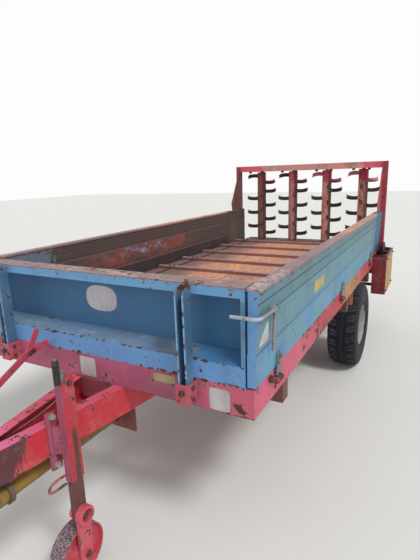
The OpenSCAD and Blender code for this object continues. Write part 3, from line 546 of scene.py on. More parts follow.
rim_pale = dress("left_wheel right_wheel", "rim_pale", "cecacc bab4b4", 0.4, 0.6, rim_wear)
nut_turn, roll_turn = np.arange(6) * np.pi / 3 + np.pi / 6, np.linspace(0, 2 * np.pi, 9)
for side, body in ((1, "left_road_wheel"), (-1, "right_road_wheel")):
    places = G(side * 849.5, axle_y + nut_r * np.cos(nut_turn), axle_z + nut_r * np.sin(nut_turn))
    bolts(body + "_nuts", places, (side, 0, 0), 0.026, body)
    out = (side, 0, 0)
    cap = turned([[0, 0], [0, 0.04], [0.008, 0.04], [0.012, 0.036], [0.026, 0.034], [0.034, 0.026],
                  [0.037, 0.012], [0.038, 0]], G(side * 873.5, axle_y, axle_z), out)
    solid(body + "_cap", cap, bolt_rust, body, "rim_paint")
    roll = [turned(np.stack([at + 0.004 * np.cos(roll_turn), rim_r - 0.006 + 0.004 * np.sin(roll_turn)], -1),
                   G(side * tyre_x, axle_y, axle_z), out, 72) for at in (-0.113, 0.113)]
    solid(body + "_rolled_edge", joined(*roll), rim_pale, body, "rim_paint")


# ---- Floor: eleven thick planks along the box, laid on the cross members, weathered and strawy.
# Salmon and orange where the wood is dry, grey-purple towards the front and along the sides, with a grey painted
# shadow of the right side wall along the right edge.
def plank_paint():
    """Wood in planks: each plank its own shade, grain drawn out along it, straw, dry patches, and a grey painted
    shadow of the right side wall along the right edge.
    """
    paint = Paint("floor_planks_wood")
    low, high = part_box("floor_planks")
    number = ((paint.x - low.x) / ((high.x - low.x + 0.003) / 11)).of("FLOOR")
    shade = paint.node("TexWhiteNoise", {"noise_dimensions": "1D"}, W=number)
    grain = paint.noise(46, 5, 0.65, (1, 0.05, 1))
    specks = paint.noise(70, 3, 0.8, (1, 0.4, 1), 3)
    dry = (paint.noise(1.5, 4, shift=5) - 0.5 + (paint.y - low.y) / (high.y - low.y) * 0.5).rise(-0.1, 0.25)
    straw = paint.noise(36, 5, 0.85, (1, 0.5, 1), 6)
    # Painted shadow of the right side wall: a ragged strip along the right edge
    right_wall_shadow = (paint.side + (paint.noise(3, 4, shift=8) - 0.5) * 0.4).rise(-0.35, -0.6)
    wood = paint.mix(dry, "967a7a", "e8a482")
    for share, colour in ((grain.rise(0.35, 0.7) * 0.5, "84584a"), ((shade - 0.5) * 0.5 + 0.2, "a47c70"),
                          (specks.rise(0.58, 0.68) * 0.8, "f4d0a6"), (straw.rise(0.5, 0.6) * 0.6, "8c5c4c"),
                          (straw.rise(0.46, 0.38) * 0.6, "fcbe82"), (specks.rise(0.38, 0.28) * 0.8, "402e2c"),
                          # Next: the grey painted shadow of the right side wall
                          (right_wall_shadow * 0.8, "5c545e"), (paint.side.rise(0.1, 0.3) * 0.5, "ba9e9e"),
                          (paint.out.rise(0.76, 0.88) * 0.6, "5c4c50")):
        wood = paint.mix(share, wood, colour)
    return paint.set(Base_Color=wood, Roughness=0.75 + grain * 0.2,
                     Normal=paint.relief(grain + specks * 0.5, 0.0016))


dress("floor_planks", plank_paint())
floor_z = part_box("floor_planks")[1].z * 1000


# ---- Floor conveyor: two round-link chains that run over the planks and back beneath, with channel slats across.
# Everything in it is bare steel, rusted dark, polished by the load along the slats' tops.
def slat_wear(paint):
    """Bright rubbed steel along the tops."""
    return 0.0, paint.z.rise(1.020, 1.0262) * paint.noise(9, 4).rise(0.3, 0.55) * 0.8, "b68c84"


dress("floor_slats", "slat_steel", "92645c a2726a", 0.3, 0.35, slat_wear, 0.3, 0.5, 12)
chain_steel = dress("floor_shafts", "chain_steel", "42302c 583e36", 0.8, 0.7, None, 0.4, 0.55, 30)


def loop_of(centres, radii):
    """The (y, z) places round a belt over two wheels, and how far along the belt each lies.
    The straight runs touch both circles where their radii stand square to the run."""
    (a, b), (ra, rb), count = np.asarray(centres, float), radii, 4000
    across = b - a
    turned_by = math.atan2(across[1], across[0])
    half = math.acos((ra - rb) / np.linalg.norm(across))
    first = turned_by + np.linspace(half, 2 * np.pi - half, count)
    second = turned_by + np.linspace(-half, half, count)
    path = np.concatenate([a + ra * np.stack([np.cos(first), np.sin(first)], -1),
                           b + rb * np.stack([np.cos(second), np.sin(second)], -1)])
    path = np.concatenate([path, path[:1]])
    run = np.concatenate([[0], np.cumsum(np.linalg.norm(np.diff(path, axis=0), axis=1))])
    return path, run


def link_places(path, run, pitch, step):
    """An even number of places a pitch apart on a closed path, with the way and distance to those a step on."""
    count = 2 * round(run[-1] / pitch / 2)
    at = np.arange(count) * run[-1] / count
    here, there = (np.stack([np.interp((at + d) % run[-1], run, path[:, i]) for i in (0, 1)], -1)
                   for d in (0, step))
    length = np.linalg.norm(there - here, axis=1)[:, None]
    return count, here, (there - here) / length, length


def wires(line, outward, across, radius, sides):
    """Points of many round wires: at each point of line a ring, radius * (cos s * outward + sin s * across)."""
    s = circle(sides)[:, None]
    ring = np.cos(s) * outward[:, :, None] + np.sin(s) * across[:, None, None]
    return (line[:, :, None] + np.asarray(radius)[..., None] * ring).reshape(-1, 3)


def chain(path, run, pitch, half_wide, wire, sides, steps):
    """Oval links along a closed path, every second one turned a quarter about the path.
    A link's middle line is a stretched circle, and its wire is swept round that line."""
    count, here, along, _ = link_places(path, run, pitch, 1e-3)
    here, along = (np.concatenate([np.zeros((count, 1)), a], 1) for a in (here, along))
    side = np.tile([1.0, 0, 0], (count, 1))
    up = np.cross(side, along)
    odd = (np.arange(count) % 2)[:, None]
    flat, thick = np.where(odd, up, side), np.where(odd, side, up)
    t = np.linspace(0, 2 * np.pi, steps + 1)[None, :, None]
    length = run[-1] / count / 2 + wire * 0.9
    line = np.cos(t) * length * along[:, None] + np.sin(t) * half_wide * flat[:, None]
    outward = np.cos(t) * along[:, None] + np.sin(t) * flat[:, None]
    return wires(here[:, None] + line, outward, thick, wire, sides), lattice(count, steps + 1, sides)


wheel_r, shafts_y, slats_from, slat_pitch = 75, (190, 3770), 500, 440
turn_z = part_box("floor_shafts")[0].z * 1000 + wheel_r
loop, run = loop_of([[board_y + y / 1000, turn_z / 1000] for y in shafts_y], (0.084, 0.0839))
points, faces = chain(loop, run, 0.03, 0.0058, 0.003, 6, 10)
conveyor = joined(*[(points + (mid_x + x / 1000, 0, 0), faces) for x in (-700, 700)])
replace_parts(solid("floor_chains", conveyor, chain_steel), "floor_conveyor")
slat_y, chain_x = np.meshgrid(slats_from + np.arange(8) * slat_pitch, [-724, -676, 676, 724])
bolts("slat_bolts", G(chain_x.ravel(), slat_y.ravel(), floor_z + 26.8), (0, 0, 1), 0.016)


# ---- Front board: a folded sheet with a lip, a sloping shelf, a set-back panel and a top rail, and two stiles.
# Blue paint, dark and even on the sheltered panel, rubbed pale on the shelf, and rusted along the rail's top.
def board_wear(paint):
    """Rusted rail top with whitish scuffs; pale shelf and lip, ochre chips along their fold; brown inside."""
    under, behind, across = paint.under, paint.back, paint.side
    rail_top = under.rise(0.007, 0.003)
    scuff = paint.noise(24, 5, 0.7, (0.3, 1, 1), 8).rise(0.56, 0.66)
    panel = behind.rise(0.094, 0.098) * under.rise(0.004, 0.01)
    shelf = behind.rise(0.002, 0.006) * behind.rise(0.099, 0.095) * under.rise(0.30, 0.31)
    inside = behind.rise(0.1045, 0.1055)
    fold = paint.z.near(1.048, 0.01) * behind.near(0, 0.02) + paint.z.near(0.956, 0.012)
    blotch = shelf * (across + 0.55).near(0, 0.22) * paint.noise(20, 4, shift=4).rise(0.5, 0.6)
    right_end = across.rise(0.56, 0.62)
    dull = shelf * (1 - right_end) * (0.45 + 0.4 * paint.noise(3, 4, 0.6, (0.5, 1, 1)))
    ochre = shelf * (across - 0.42).near(0, 0.26) * paint.noise(42, 4, 0.75, shift=6).rise(0.54, 0.64)
    tan = shelf * (across - 0.47).near(0, 0.1) * behind.near(0.02, 0.02)
    rail_face = under.rise(0.062, 0.056) * (1 - rail_top) * behind.rise(0.094, 0.088)
    rail_specks = rail_face * under.rise(0.035, 0.0) * paint.noise(44, 5, 0.75, (0.7, 1, 1), 5).rise(0.52, 0.6)
    lip = behind.rise(0.006, 0.002) * paint.z.rise(1.052, 1.046) * paint.z.rise(0.95, 0.956)
    seam = across.near(0.115, 0.0022) * behind.rise(0.003, 0.001) * (1 - panel)
    shade = across.rise(-0.2, -0.62) * panel * 0.5
    return (fold * 0.13 + rail_top * 0.06 - panel * 0.05,
            panel * 0.85, "326896",
            lip * 0.75, "6aa0de",
            shade, "2c5480",
            rail_face * 0.7, "70acde",
            rail_specks * 0.85, "70523e",
            panel * right_end * 0.6, "22608a",
            shelf * right_end * 0.8, "3a7aac",
            dull, "7086a0",
            shelf * scuff * 0.25, "b0bac4",
            ochre * 0.7, "967c54",
            tan * 0.6, "b09c84",
            seam * 0.7, "aabece",
            blotch * 0.7, "608c80",
            rail_top * 0.9, "927066",
            rail_top * scuff, "c4aaa0",
            inside * 0.9, "5c443e",
            inside * scuff * 0.5, "7e5a4e")


dress("front_board", "front_board_blue", "5488b0 6696b8", 0.36, 0.25, board_wear)


# ---- Uprights: two blue channels, open to the front, that stand in red U-brackets and brace the board.
# Their hollows are dark and their front edges pale, and bolts through each bracket hold the foot.
upright_x = np.array([-628.0, 582.0])


def upright_wear(paint):
    """Darker, mottled in the hollow, chips towards the cut top, and paler paint on the front edges."""
    front_edge = paint.back.near(-0.066, 0.006)
    hollow = paint.back.rise(-0.064, -0.058) * (paint.noise(6, 4).rise(0.3, 0.6) * 0.4 + 0.5)
    head = paint.z.rise(box_top - 0.05, box_top - 0.012)
    return (front_edge * 0.1 + head * 0.14,
            hollow * 0.75, "2c4258",
            front_edge * 0.9, "84b8e4")


dress("front_uprights", "upright_blue", "609ac8 72a6cc", 0.36, 0.2, upright_wear)
dress("upright_feet", "bracket_red", "c03c52 cc6074", 0.45, 0.3)
bolts("upright_bolts", G(upright_x, -74, 905), (0, -1, 0), 0.022)
through = np.concatenate([G(upright_x + side * 34.2, -36, z) for side in (-1, 1) for z in (868, 922)])
bolts("upright_cross_bolts", through, np.repeat([(-1, 0, 0), (1, 0, 0)], 4, 0), 0.016, slot="red_frame",
      finish=bolt_red)


# ---- Drop sides: long boards of folded sheet with three pressed grooves and a flange along the top.
# Blue over teal, yellow-brown where chipped; the flange is rusted to the metal, the inner face brown from loads.
def side_wear(paint):
    """Shares by height under the top, by distance from the machine's middle, and by distance behind the front."""
    under, out, back = paint.under, paint.out, paint.back
    inside = out.rise(0.8935, 0.8905) * under.rise(0.0115, 0.0125)
    flange = under.rise(0.0125, 0.0115)
    scuff = paint.noise(16, 5, 0.7, (1, 0.25, 1), 8).rise(0.54, 0.68)
    mottle = paint.noise(3.2, 6, 0.7, (1, 0.5, 1), 6)
    teal = (mottle + back * 0.06).rise(0.44, 0.62) * 0.75
    outside = 1 - inside
    under_rail = under.rise(0.05, 0.0) * outside
    upper = under.rise(0.138, 0.130) * outside
    middle_strip = under.rise(0.130, 0.138) * under.rise(0.293, 0.285) * outside
    flecks = under.rise(0.075, 0.01) * outside * paint.noise(48, 4, 0.75, (1, 0.5, 1), 4).rise(0.56, 0.64)
    low_blue = under.rise(0.285, 0.293) * outside * paint.noise(9, 5, 0.7, (1, 0.4, 1), 9).rise(0.48, 0.6)
    along = paint.noise(13, 6, 0.75, (1, 0.25, 1), 12)
    dots = (back * 26).of("FRACT").near(0.5, 0.22) * under.near(0.301, 0.006) * outside
    dots = dots * back.rise(0.18, 0.22) * back.rise(1.05, 0.95)
    red_share = paint.noise(11, 6, 0.75, (1, 0.5, 1)).rise(0.42, 0.56)
    scrapes = paint.noise(15, 6, 0.8, (1, 0.5, 1), 2).rise(0.5, 0.56) * (back.near(1.65, 0.55) + 0.15)
    scrapes = scrapes * under.rise(0.25, 0.2)
    ledge = (under.near(0.134, 0.011) + under.near(0.289, 0.011)) * inside
    ledge_dark = (under.near(0.118, 0.007) + under.near(0.273, 0.007)) * inside
    middle = under.rise(0.128, 0.138) * under.rise(0.292, 0.285) * inside
    middle = middle * back.rise(0.7, 1.2) * back.rise(2.7, 2.2)
    low_inside = under.rise(0.285, 0.296) * inside
    cap = back.rise(0.0062, 0.0045)
    groove = (under.near(0.069, 0.007) + under.near(0.134, 0.007) + under.near(0.289, 0.007)) * (1 - inside)
    ragged = (paint.noise(22, 5, 0.8, shift=4) - 0.5) * 1.3
    remains = inside * under.rise(0.13, 0.12) * (back + ragged).rise(0.62, 0.52)
    front_chips = outside * back.rise(0.04, 0.014) * paint.noise(40, 4, 0.8, (1, 1, 0.3)).rise(0.48, 0.56)
    return (under_rail * 0.1 - flange * 0.16 - inside * 0.06,
            teal, "6896a0",
            mottle.rise(0.42, 0.3) * 0.5, "4278a8",
            upper * 0.75, "547a7e",
            middle_strip * 0.45, "628488",
            outside * along.rise(0.54, 0.64) * 0.4, "4c82be",
            outside * along.rise(0.44, 0.36) * 0.4, "689e90",
            low_blue * 0.5, "4e8acc",
            under_rail * 0.6, "6a8078",
            flecks * 0.7, "968654",
            front_chips * 0.7, "8c7c50",
            groove * 0.75, "344e5c",
            dots * 0.8, "28343e",
            inside * 0.96, "4e3c37",
            low_inside * 0.7, "2e262c",
            remains * 0.8, "70889c",
            middle * red_share * 0.85, "924a40",
            middle * scrapes * 0.9, "889cb8",
            inside * scuff * 0.3, "745c52",
            ledge_dark * 0.6, "2c2224",
            ledge * 0.8, "745a58",
            back.rise(3.0, 3.5) * outside * 0.7, "2c6892",
            flange * 0.95, "8e7074",
            flange * (back + (mottle - 0.5)).rise(1.3, 2.0) * 0.8, "cc927a",
            flange * scuff * 0.5, "ceb4b0",
            flange * back.rise(0.5, 0.3) * paint.noise(26, 5, 0.8).rise(0.5, 0.58) * 0.7, "c8bcc2",
            flange * paint.noise(5, 3, shift=3).rise(0.5, 0.7) * 0.4, "7c5c68",
            cap * (1 - flange) * 0.96, "689cd0")


dress("left_drop_side right_drop_side", weathered("side_blue", "5890bc 6ca2be", 0.32, 0.3, side_wear, grain=13,
                                                  deep=0.0008, rim="78745c"))
lean = 19 / 441
tilt = np.array([lean, 0, 1]) / math.hypot(lean, 1)


def on_side(y, z):
    """A place on the left side's leaning outer face, a fifth of a millimetre clear of it."""
    return G(906 + lean * (z - 961) + 0.2, y, z)


blank("side_yellow_plate", on_side(1003, 1192), (0, 1, 0), tilt, 0.23, 0.068, 9, "c4b854 b0a446",
      "left_side")


def three_cornered(name, corners, body, coat):
    """A thin triangular film: its outline's corners are rounded and filled to the middle."""
    after = np.roll(corners, -1, 0)
    cut = np.stack([corners * 0.9 + after * 0.1, corners * 0.1 + after * 0.9], 1).reshape(-1, 3)
    edge = rounded(np.concatenate([cut, cut[:1]]), 2)[:-1]
    out = np.cross(corners[1] - corners[0], corners[2] - corners[0])
    out = out * np.sign(out[0]) / np.linalg.norm(out)
    middle = edge.mean(0)
    sheet = film(middle, edge - middle, out, [0, 1, 1, 0.96, 0], [-2e-4, -2e-4, 7e-4, 1e-3, 1.1e-3])
    return solid(name, sheet, weathered(name + "_film", coat, 0.2, 0.4, None, 0, 0.4, 30, 0.0002), body, None)


corners = np.stack([on_side(y, z) for y, z in ((119, 1244), (147, 1141), (12, 1141))])
three_cornered("side_pale_triangle", corners, "left_side", "cecece b0b4ba")


# ---- Hinges: teal straps welded to each side's foot, turning on pins between ears on the sill.
# Bolted through the board above, dark with rust round the knuckles; each pin's bent tail hangs at its front.
def strap_wear(paint):
    """Rust round the knuckle and under it."""
    return paint.z.rise(0.93, 0.885) * 0.2, paint.z.rise(0.925, 0.9) * 0.9, "322c26"


dress("left_hinge_straps right_hinge_straps", "strap_teal", "4c7a8e 608a9c", 0.35, 0.3, strap_wear)
hinge_y = np.array([275.0, 1750.0, 3180.0])
bolt_straw = weathered("bolt_straw", "968e70 746c5a", 0.6, 0.4, None, 0.2, 0.5, 60, 0.0003)
for side, body in ((1, "left_side"), (-1, "right_side")):
    y, z = np.repeat(hinge_y, 2) + np.tile([-12, 12], 3), np.tile([982.0, 1008.0], 3)
    bolts(body + "_strap_bolts", G(side * (914.0 + (z - 961) * 0.043), y, z), (side, 0, -0.04), 0.017, body,
          finish=bolt_straw)
    tails = [tube(rounded(G(side * 919, y + np.array([-44, -52, -54, -60]), [893, 893, 890, 868]), 2), 0.0035, 8,
                  (1, 0, 0)) for y in hinge_y]
    solid(body + "_pin_tails", joined(*tails), bolt_rust)


# ---- Corner latches: a bent rod that turns in a boss on the side and hooks in front of the top rail.
# Galvanised once, now whitish with patches of brown rust; the handle hangs flat against the side.
def latch_wear(paint):
    """A greyer handle, and patches of rust."""
    handle = paint.back.rise(-0.02, 0.02)
    return (0.0,
            handle * 0.75, "80767e",
            paint.noise(30, 4, shift=2).rise(0.56, 0.66) * 0.7, "8c6c5c")


def knob(radius, height, bevel, low, place, along):
    """A round boss: a flat-topped cylinder whose rim is cut back by bevel from the height low upwards."""
    return turned([[0, 0], [0, radius], [low, radius], [height, radius - bevel], [height, 0]], place, along, 24)


latch_grey = weathered("latch_grey", "acbaca bab4b4", 0.34, 0.3, latch_wear, 0.3, 0.45, 26)
for side, which in ((1, "left"), (-1, "right")):
    bar = rounded(G(side * np.array([812, 870, 930] + [938] * 6), [-38, -30, -26, 20, 90, 149, 147, 140, 134],
                    [1288, 1286, 1283, 1284, 1283, 1282, 1240, 1170, 1094]), 3)
    boss = knob(0.014, 0.026, 0.002, 0.022, G(side * 919.9, 149, 1282), (side, 0, 0))
    shape = joined(tube(bar, 0.008, 14, (1, 1, 1)), boss)
    latch = solid(which + "_side_latch", shape, latch_grey, which + "_side")
    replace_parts(latch, which + "_corner_latch")


# ---- Rear panels and frame: fixed boards behind the drop sides, square posts, wing plates and the top beam.
# The boards are rusted brown inside and blue outside; posts and wings are red, dark inside; the beam is faded to
# salmon with red ends.
def panel_wear(paint):
    """Blue outside; inside brown, with yellowish runs; a few patches of red."""
    outside = paint.out.rise(0.893, 0.897)
    return (-0.06 - outside * 0.1,
            outside * 0.9, "2c648c",
            (1 - outside) * paint.noise(8, 4, 0.6, (1, 1, 0.2), 7).rise(0.5, 0.62) * 0.6, "70623e",
            paint.noise(6, 4, shift=4).rise(0.6, 0.7) * 0.6, "783234")


dress("rear_side_panels", "rear_panel_brown", "544a3e 423a32", 0.7, 0.6, panel_wear)


def frame_wear(paint):
    """Inner faces dark with rust, and greenish yellow stains down the wings."""
    inner = paint.out.rise(0.8965, 0.8945)
    stain = paint.noise(12, 3, 0.6, (1, 1, 0.15), 3).rise(0.56, 0.66) * paint.z.rise(1.9, 1.4)
    return (0.02,
            inner * 0.75, "463032",
            stain * inner * 0.6, "847c42")


dress("rear_posts wing_plates", "frame_red", "a62c3c ba4a5a", 0.3, 0.35, frame_wear)


def beam_wear(paint):
    """Salmon in the middle, pinkish red from the outer beaters outwards."""
    along = paint.side + (paint.noise(7, 3) - 0.5) * 0.1
    ends = along.rise(0.66, 0.70) + along.rise(-0.54, -0.58)
    return (0.0,
            paint.noise(9, 5, shift=7).rise(0.5, 0.64) * 0.6, "a07464",
            ends * 0.85, "ee5474")


dress("top_beam", "beam_salmon", "de988c ecac9c", 0.22, 0.3, beam_wear)
dress("beater_bearings drive_beam", "bearing_red", "60282e 743638", 0.7, 0.6)
beater_x = np.array([-660.0, -220.0, 220.0, 660.0])
pair_x = np.repeat(beater_x, 2) + np.tile([-88, 88], 4)
bolts("beam_bolts", G(pair_x, 3872, 1888), (0, 0, -1), 0.03)


# ---- Beaters: four standing tubes with a stair of flat tines welded round them and two paddles at the head.
# Dark with old manure and rust, with salmon painted sunlight on the side the light comes from; paddles and heads
# keep their crimson.
beater_y, beater_foot = 4050.0, 992.0
tine_step, tine_root, tine_count = 47.0, 50 + 0.45 * 46, 14


def beater_wear(paint, middle, red, sunlit_share):
    """Painted sunlight as salmon mottle on the tube's front right side, crimson at the head, and a painted
    highlight at the tines' tips.
    """
    x, y = paint.x - middle[0], paint.y - middle[1]
    out = (x * x + y * y) ** 0.5
    streak = paint.noise(9, 5, 0.7, (1, 1, 0.3), 3)
    mottle = paint.noise(22, 5, 0.75, (1, 1, 0.5), 6)
    # Painted sunlight: salmon on the tube's side towards the light, scaled by each beater's share
    painted_sunlight = ((x * -0.8 - y * 0.6) / 0.06 + (mottle - 0.5) * 1.6).rise(-0.3, 0.5) * sunlit_share
    head = paint.z.rise(1.735, 1.75)
    crimson = (paint.z + (mottle - 0.5) * 0.16).rise(1.72, 1.76)
    blade = out.rise(0.0603, 0.0613)
    tip = out.rise(0.16, 0.19) * mottle.rise(0.42, 0.55)
    return (0.0,
            # Salmon painted sunlight on the tube
            painted_sunlight * (1 - blade) * 0.95, "fab0a4",
            streak.rise(0.54, 0.66) * 0.5, "784e4c",
            blade * 0.88, "3e2c2e",
            blade * mottle.rise(0.58, 0.68) * 0.5, "96706c",
            crimson * (1 - blade) * red, "ce2c54",
            head * blade * 0.9, "ba324a" if red < 0.6 else "f08a9c",
            head * blade * x.rise(0.02, -0.02) * (0.8 if red < 0.6 else 0), "46242a",
            # Painted highlight on the tines' tips
            tip * (1 - head) * 0.55, "8c7874")


# The last tuple gives each beater's share of painted sunlight
beater_turn, beater_red, beater_sunlit_share = (26, 26, 26, 0), (0.3, 0.4, 0.7, 0.95), (0.3, 0.8, 1, 1)
for i, (x, turned_by, red, sunlit_share) in enumerate(zip(beater_x, beater_turn, beater_red, beater_sunlit_share)):
    middle = G(x, beater_y, 0)
    paint = weathered(f"beater_{i + 1}_brown", "523034 683c3e", 0.3, 0.3,
                      lambda p, middle=middle, red=red, sunlit_share=sunlit_share: beater_wear(p, middle, red, sunlit_share), 0.2, 0.55, 12)
    dress(f"beater_{i + 1}", paint)
    step = np.arange(tine_count)
    angle = np.radians(turned_by + step * (90 if i < 2 else -90))
    away = np.stack([np.cos(angle), np.sin(angle), 0 * angle], -1)
    t = np.linspace(0, 2 * np.pi, 25)[None, :, None]
    seat = middle + (0, 0, beater_foot / 1000) + away * 0.0575
    seat[:, 2] += (tine_root + step * tine_step) / 1000
    across, up = np.cross(away, (0, 0, 1.0))[:, None], np.array([0, 0, 1.0])
    # The bead runs round each tine's root: an oval as wide as the blade is thick and as high as it is deep
    outward = np.cos(t) * across + np.sin(t) * up
    line = seat[:, None] + np.cos(t) * 0.008 * across + np.sin(t) * 0.025 * up
    bead = wires(line, outward, away, 0.0035 + 0.0008 * np.sin(9 * t), 6)
    solid(f"beater_{i + 1}_welds", (bead, lattice(tine_count, 25, 6)), paint, f"beater_{i + 1}", "red_under")


# ---- Drive: a shaft under the floor in a bearing bracket, a gearbox, and a chain up to the floor's rear shaft.
# The shaft is dusty steel, the gearbox red under dirt, and the chain and its sprockets are black with grease.
dress("drive_line shaft_rest", "drive_dusty", "584c48 6e5c54", 0.6, 0.8, None, 0.3, 0.55, 12)
dress("shaft_bracket", "bracket_dark_red", "a02836 82383a", 0.6, 0.5)
ring_turn = np.arange(6) * np.pi / 3
cover_y, shaft_z = 3620.0, 560.0
for end, way in (("front", -1), ("rear", 1)):
    bolts(f"gearbox_bolts_{end}", G(66 * np.cos(ring_turn), cover_y + way * 110.3, 566 + 62 * np.sin(ring_turn)),
          (0, way, 0), 0.018)
flanges = [turned([[0, 0.02], [0, 0.05], [0.012, 0.05], [0.016, 0.036], [0.03, 0.034], [0.03, 0.02]],
                  G(0, cover_y + way * 110, shaft_z), (0, way, 0)) for way in (1, -1)]
solid("gearbox_flanges", joined(*flanges), bolt_rust, slot="red_under")
grease = weathered("chain_grease", "1a1616 2c2420", 0.3, 0.5, None, 0.3, 0.35, 40, 0.0006)
sprocket_x = 971.0
top, foot = (board_y + shafts_y[1] / 1000, turn_z / 1000), (board_y + cover_y / 1000, shaft_z / 1000)
loop, run = loop_of([top, foot], (0.110, 0.045))


def roller_chain(path, run, pitch, wide):
    """Roller chain: per pitch a round roller across the path, and pairs of figure-eight plates on both its sides,
    the plates wider by a step on every second pitch."""
    count, here, along, length = link_places(path, run, pitch, pitch)
    up = np.stack([-along[:, 1], along[:, 0]], -1)
    here, along, up = here[:, None], along[:, None], up[:, None]

    def shape(xs, ring):
        """Rings of (y, z) points at the distances xs from the sprockets' middle."""
        x = np.broadcast_to(xs[:, :, None, None], ring.shape[:3] + (1,)) + mid_x + sprocket_x / 1000
        return np.concatenate([x, ring], -1).reshape(-1, 3), lattice(count, 4, ring.shape[2])

    t = circle(12)[None, :, None]
    outline = here + along * (np.where(np.cos(t) > 0, 1.0, 0.0) * length[:, None] + 0.0062 * np.cos(t)) + up * (
        0.0055 * np.sin(t))
    middle = outline.mean(1, keepdims=True)[:, None]
    plates = middle + (outline[:, None] - middle) * np.array([0, 1, 1, 0])[None, :, None, None]
    inner = np.where(np.arange(count) % 2, 0.0036, 0.0051)[:, None]
    s = circle(8)[:, None]
    rollers = here[:, None] + np.array([0, 0.004, 0.004, 0])[:, None, None] * (
        np.cos(s) * along[:, None] + np.sin(s) * up[:, None])
    return joined(*(shape(side * (inner + np.array([0, 0, 0.0013, 0.0013])), plates) for side in (-1, 1)),
                  shape(np.array([[-1, -1, 1, 1]]) * wide, rollers))


def sprocket(centre, radius, teeth, thick):
    """A toothed disc whose edge is radius and a clipped cosine of teeth waves, with a hub ring outside."""
    t = circle(teeth * 6)
    edge = radius - 0.004 + 0.009 * np.clip(0.5 + 0.8 * np.cos(t * teeth), 0, 1)
    size = np.array([0, 1, 1, 0.86, 0.84, 0.36, 0.34, 0.34, 0])[:, None]
    xs = np.array([-1, -1, 1, 1, 0.6, 0.6, 0.6, 1.7, 1.7]) * thick
    across = np.where(size == 1, edge[None], size * radius)
    points = np.stack([np.broadcast_to(xs[:, None] + mid_x + sprocket_x / 1000, across.shape),
                       centre[0] + across * np.cos(t), centre[1] + across * np.sin(t)], -1)
    return points.reshape(-1, 3), lattice(1, 9, teeth * 6)


drive = joined(roller_chain(loop, run, 0.0254, 0.0066), sprocket(top, 0.106, 26, 0.0032),
               sprocket(foot, 0.041, 11, 0.0032))
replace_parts(solid("guard_chain", drive, grease, slot="greasy_steel"), "guard_drive")


# ---- Chain guard: a box of thin sheet bolted outside the left post, open on top and towards the machine.
# Deep red in front, its outer face ochre where the paint has gone, with grease round the open top.
def guard_wear(paint):
    """Outer face ochre with red runs; grease along the top."""
    face = paint.side.rise(1.0455, 1.0465)
    runs = paint.noise(6, 5, 0.65, (1, 1, 0.25), 2).rise(0.5, 0.6)
    greasy = (0.94 - paint.z + (paint.noise(16, 4) - 0.5) * 0.06).rise(0.035, 0.01)
    return (0.02,
            face * 0.9, "ba965c",
            face * runs * 0.8, "9e543e",
            greasy * 0.85, "221c1c")


dress("chain_guard", "guard_red", "7a202c 882a34", 0.3, 0.3, guard_wear)
rim = rounded(G([904, 1046, 1046, 904], [3431, 3431, 4019, 4019], 940.5), 2)
solid("guard_rolled_rim", tube(rim, 0.0035, 10), grease, slot="red_under")
bolts("guard_bolts", G([930, 1020, 930, 1020], 3429.8, [560, 560, 880, 880]), (0, -1, 0), 0.018, slot="red_under",
      finish=bolt_red)
bolts("guard_face_bolts", G(1048.2, [3470, 3980, 3470, 3980], [540, 540, 900, 900]), (1, 0, 0), 0.018,
      slot="red_under")


# ---- Shaft guard: two yellow plastic tubes one in the other over the drive shaft, with a bell at each end.
# Stained brown, darker along the bottom, held by a rest under the drawbar; the shaft's splined end stands out.
def yellow_wear(paint):
    """Brown stain in clouds, and darker below."""
    return (-0.3,
            paint.noise(5, 5, 0.6, (1, 0.4, 1)).rise(0.45, 0.62) * 0.7, "6c5830",
            paint.z.rise(0.555, 0.53) * 0.5, "54462e")


yellow = weathered("shaft_yellow", "9e822c 92742c", 0.0, 0.5, yellow_wear, 0, 0.4, 12, 0.0005)
profile = [[0, 0.02], [0, 0.04], [0.03, 0.04], [0.05, 0.033], [0.3, 0.033], [0.304, 0.0355], [0.31, 0.0355],
           [0.314, 0.033], [0.36, 0.033], [0.362, 0.0385], [0.372, 0.0385], [0.376, 0.037], [0.62, 0.037],
           [0.64, 0.04], [0.7, 0.04], [0.7, 0.02]]
guard_tube = turned(profile, G(0, -640, shaft_z), (0, 1, 0), 40)
neck = turned([[0, 0], [0, 0.02], [0.06, 0.02], [0.06, 0]], G(0, 60, shaft_z), (0, 1, 0), 24)
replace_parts(solid("shaft_guard_tubes", joined(guard_tube, neck), yellow, slot="yellow_guard"), "shaft_guard")
# The splined end: six teeth round a bar, with a lock groove cut round it and both its ends closed.
turn = circle(96)
spline = 0.0205 + 0.0014 * np.clip(2.2 * np.cos(6 * turn), -1, 1)
size = np.array([0, 0.93, 1, 1, 0.86, 0.86, 1, 1, 0])[:, None] * spline
run_y = np.array([-760, -760, -757, -742, -738, -728, -724, -640, -640])[:, None] / 1000 + 0 * turn
shaft_end = np.stack([mid_x + size * np.cos(turn), board_y + run_y, shaft_z / 1000 + size * np.sin(turn)], -1)
solid("shaft_splined_end", (shaft_end, lattice(1, 9, 96)), chain_steel)


# ---- Brake lever: a flat bar and a strap, pivoted in front of the sill, with a return rod to the axle.
# Pinkish red, chipped to brown, with two hexagon bolts by the pivot.
dress("brake_lever", "lever_red", "c43a54 cc586e", 0.42, 0.2)
for name, x, way in (("lever_bolts", -338.2, -1), ("lever_bolts_left", -321.8, 1)):
    bolts(name, G(x, [-140, -118], [967, 975]), (way, 0, 0), 0.018)


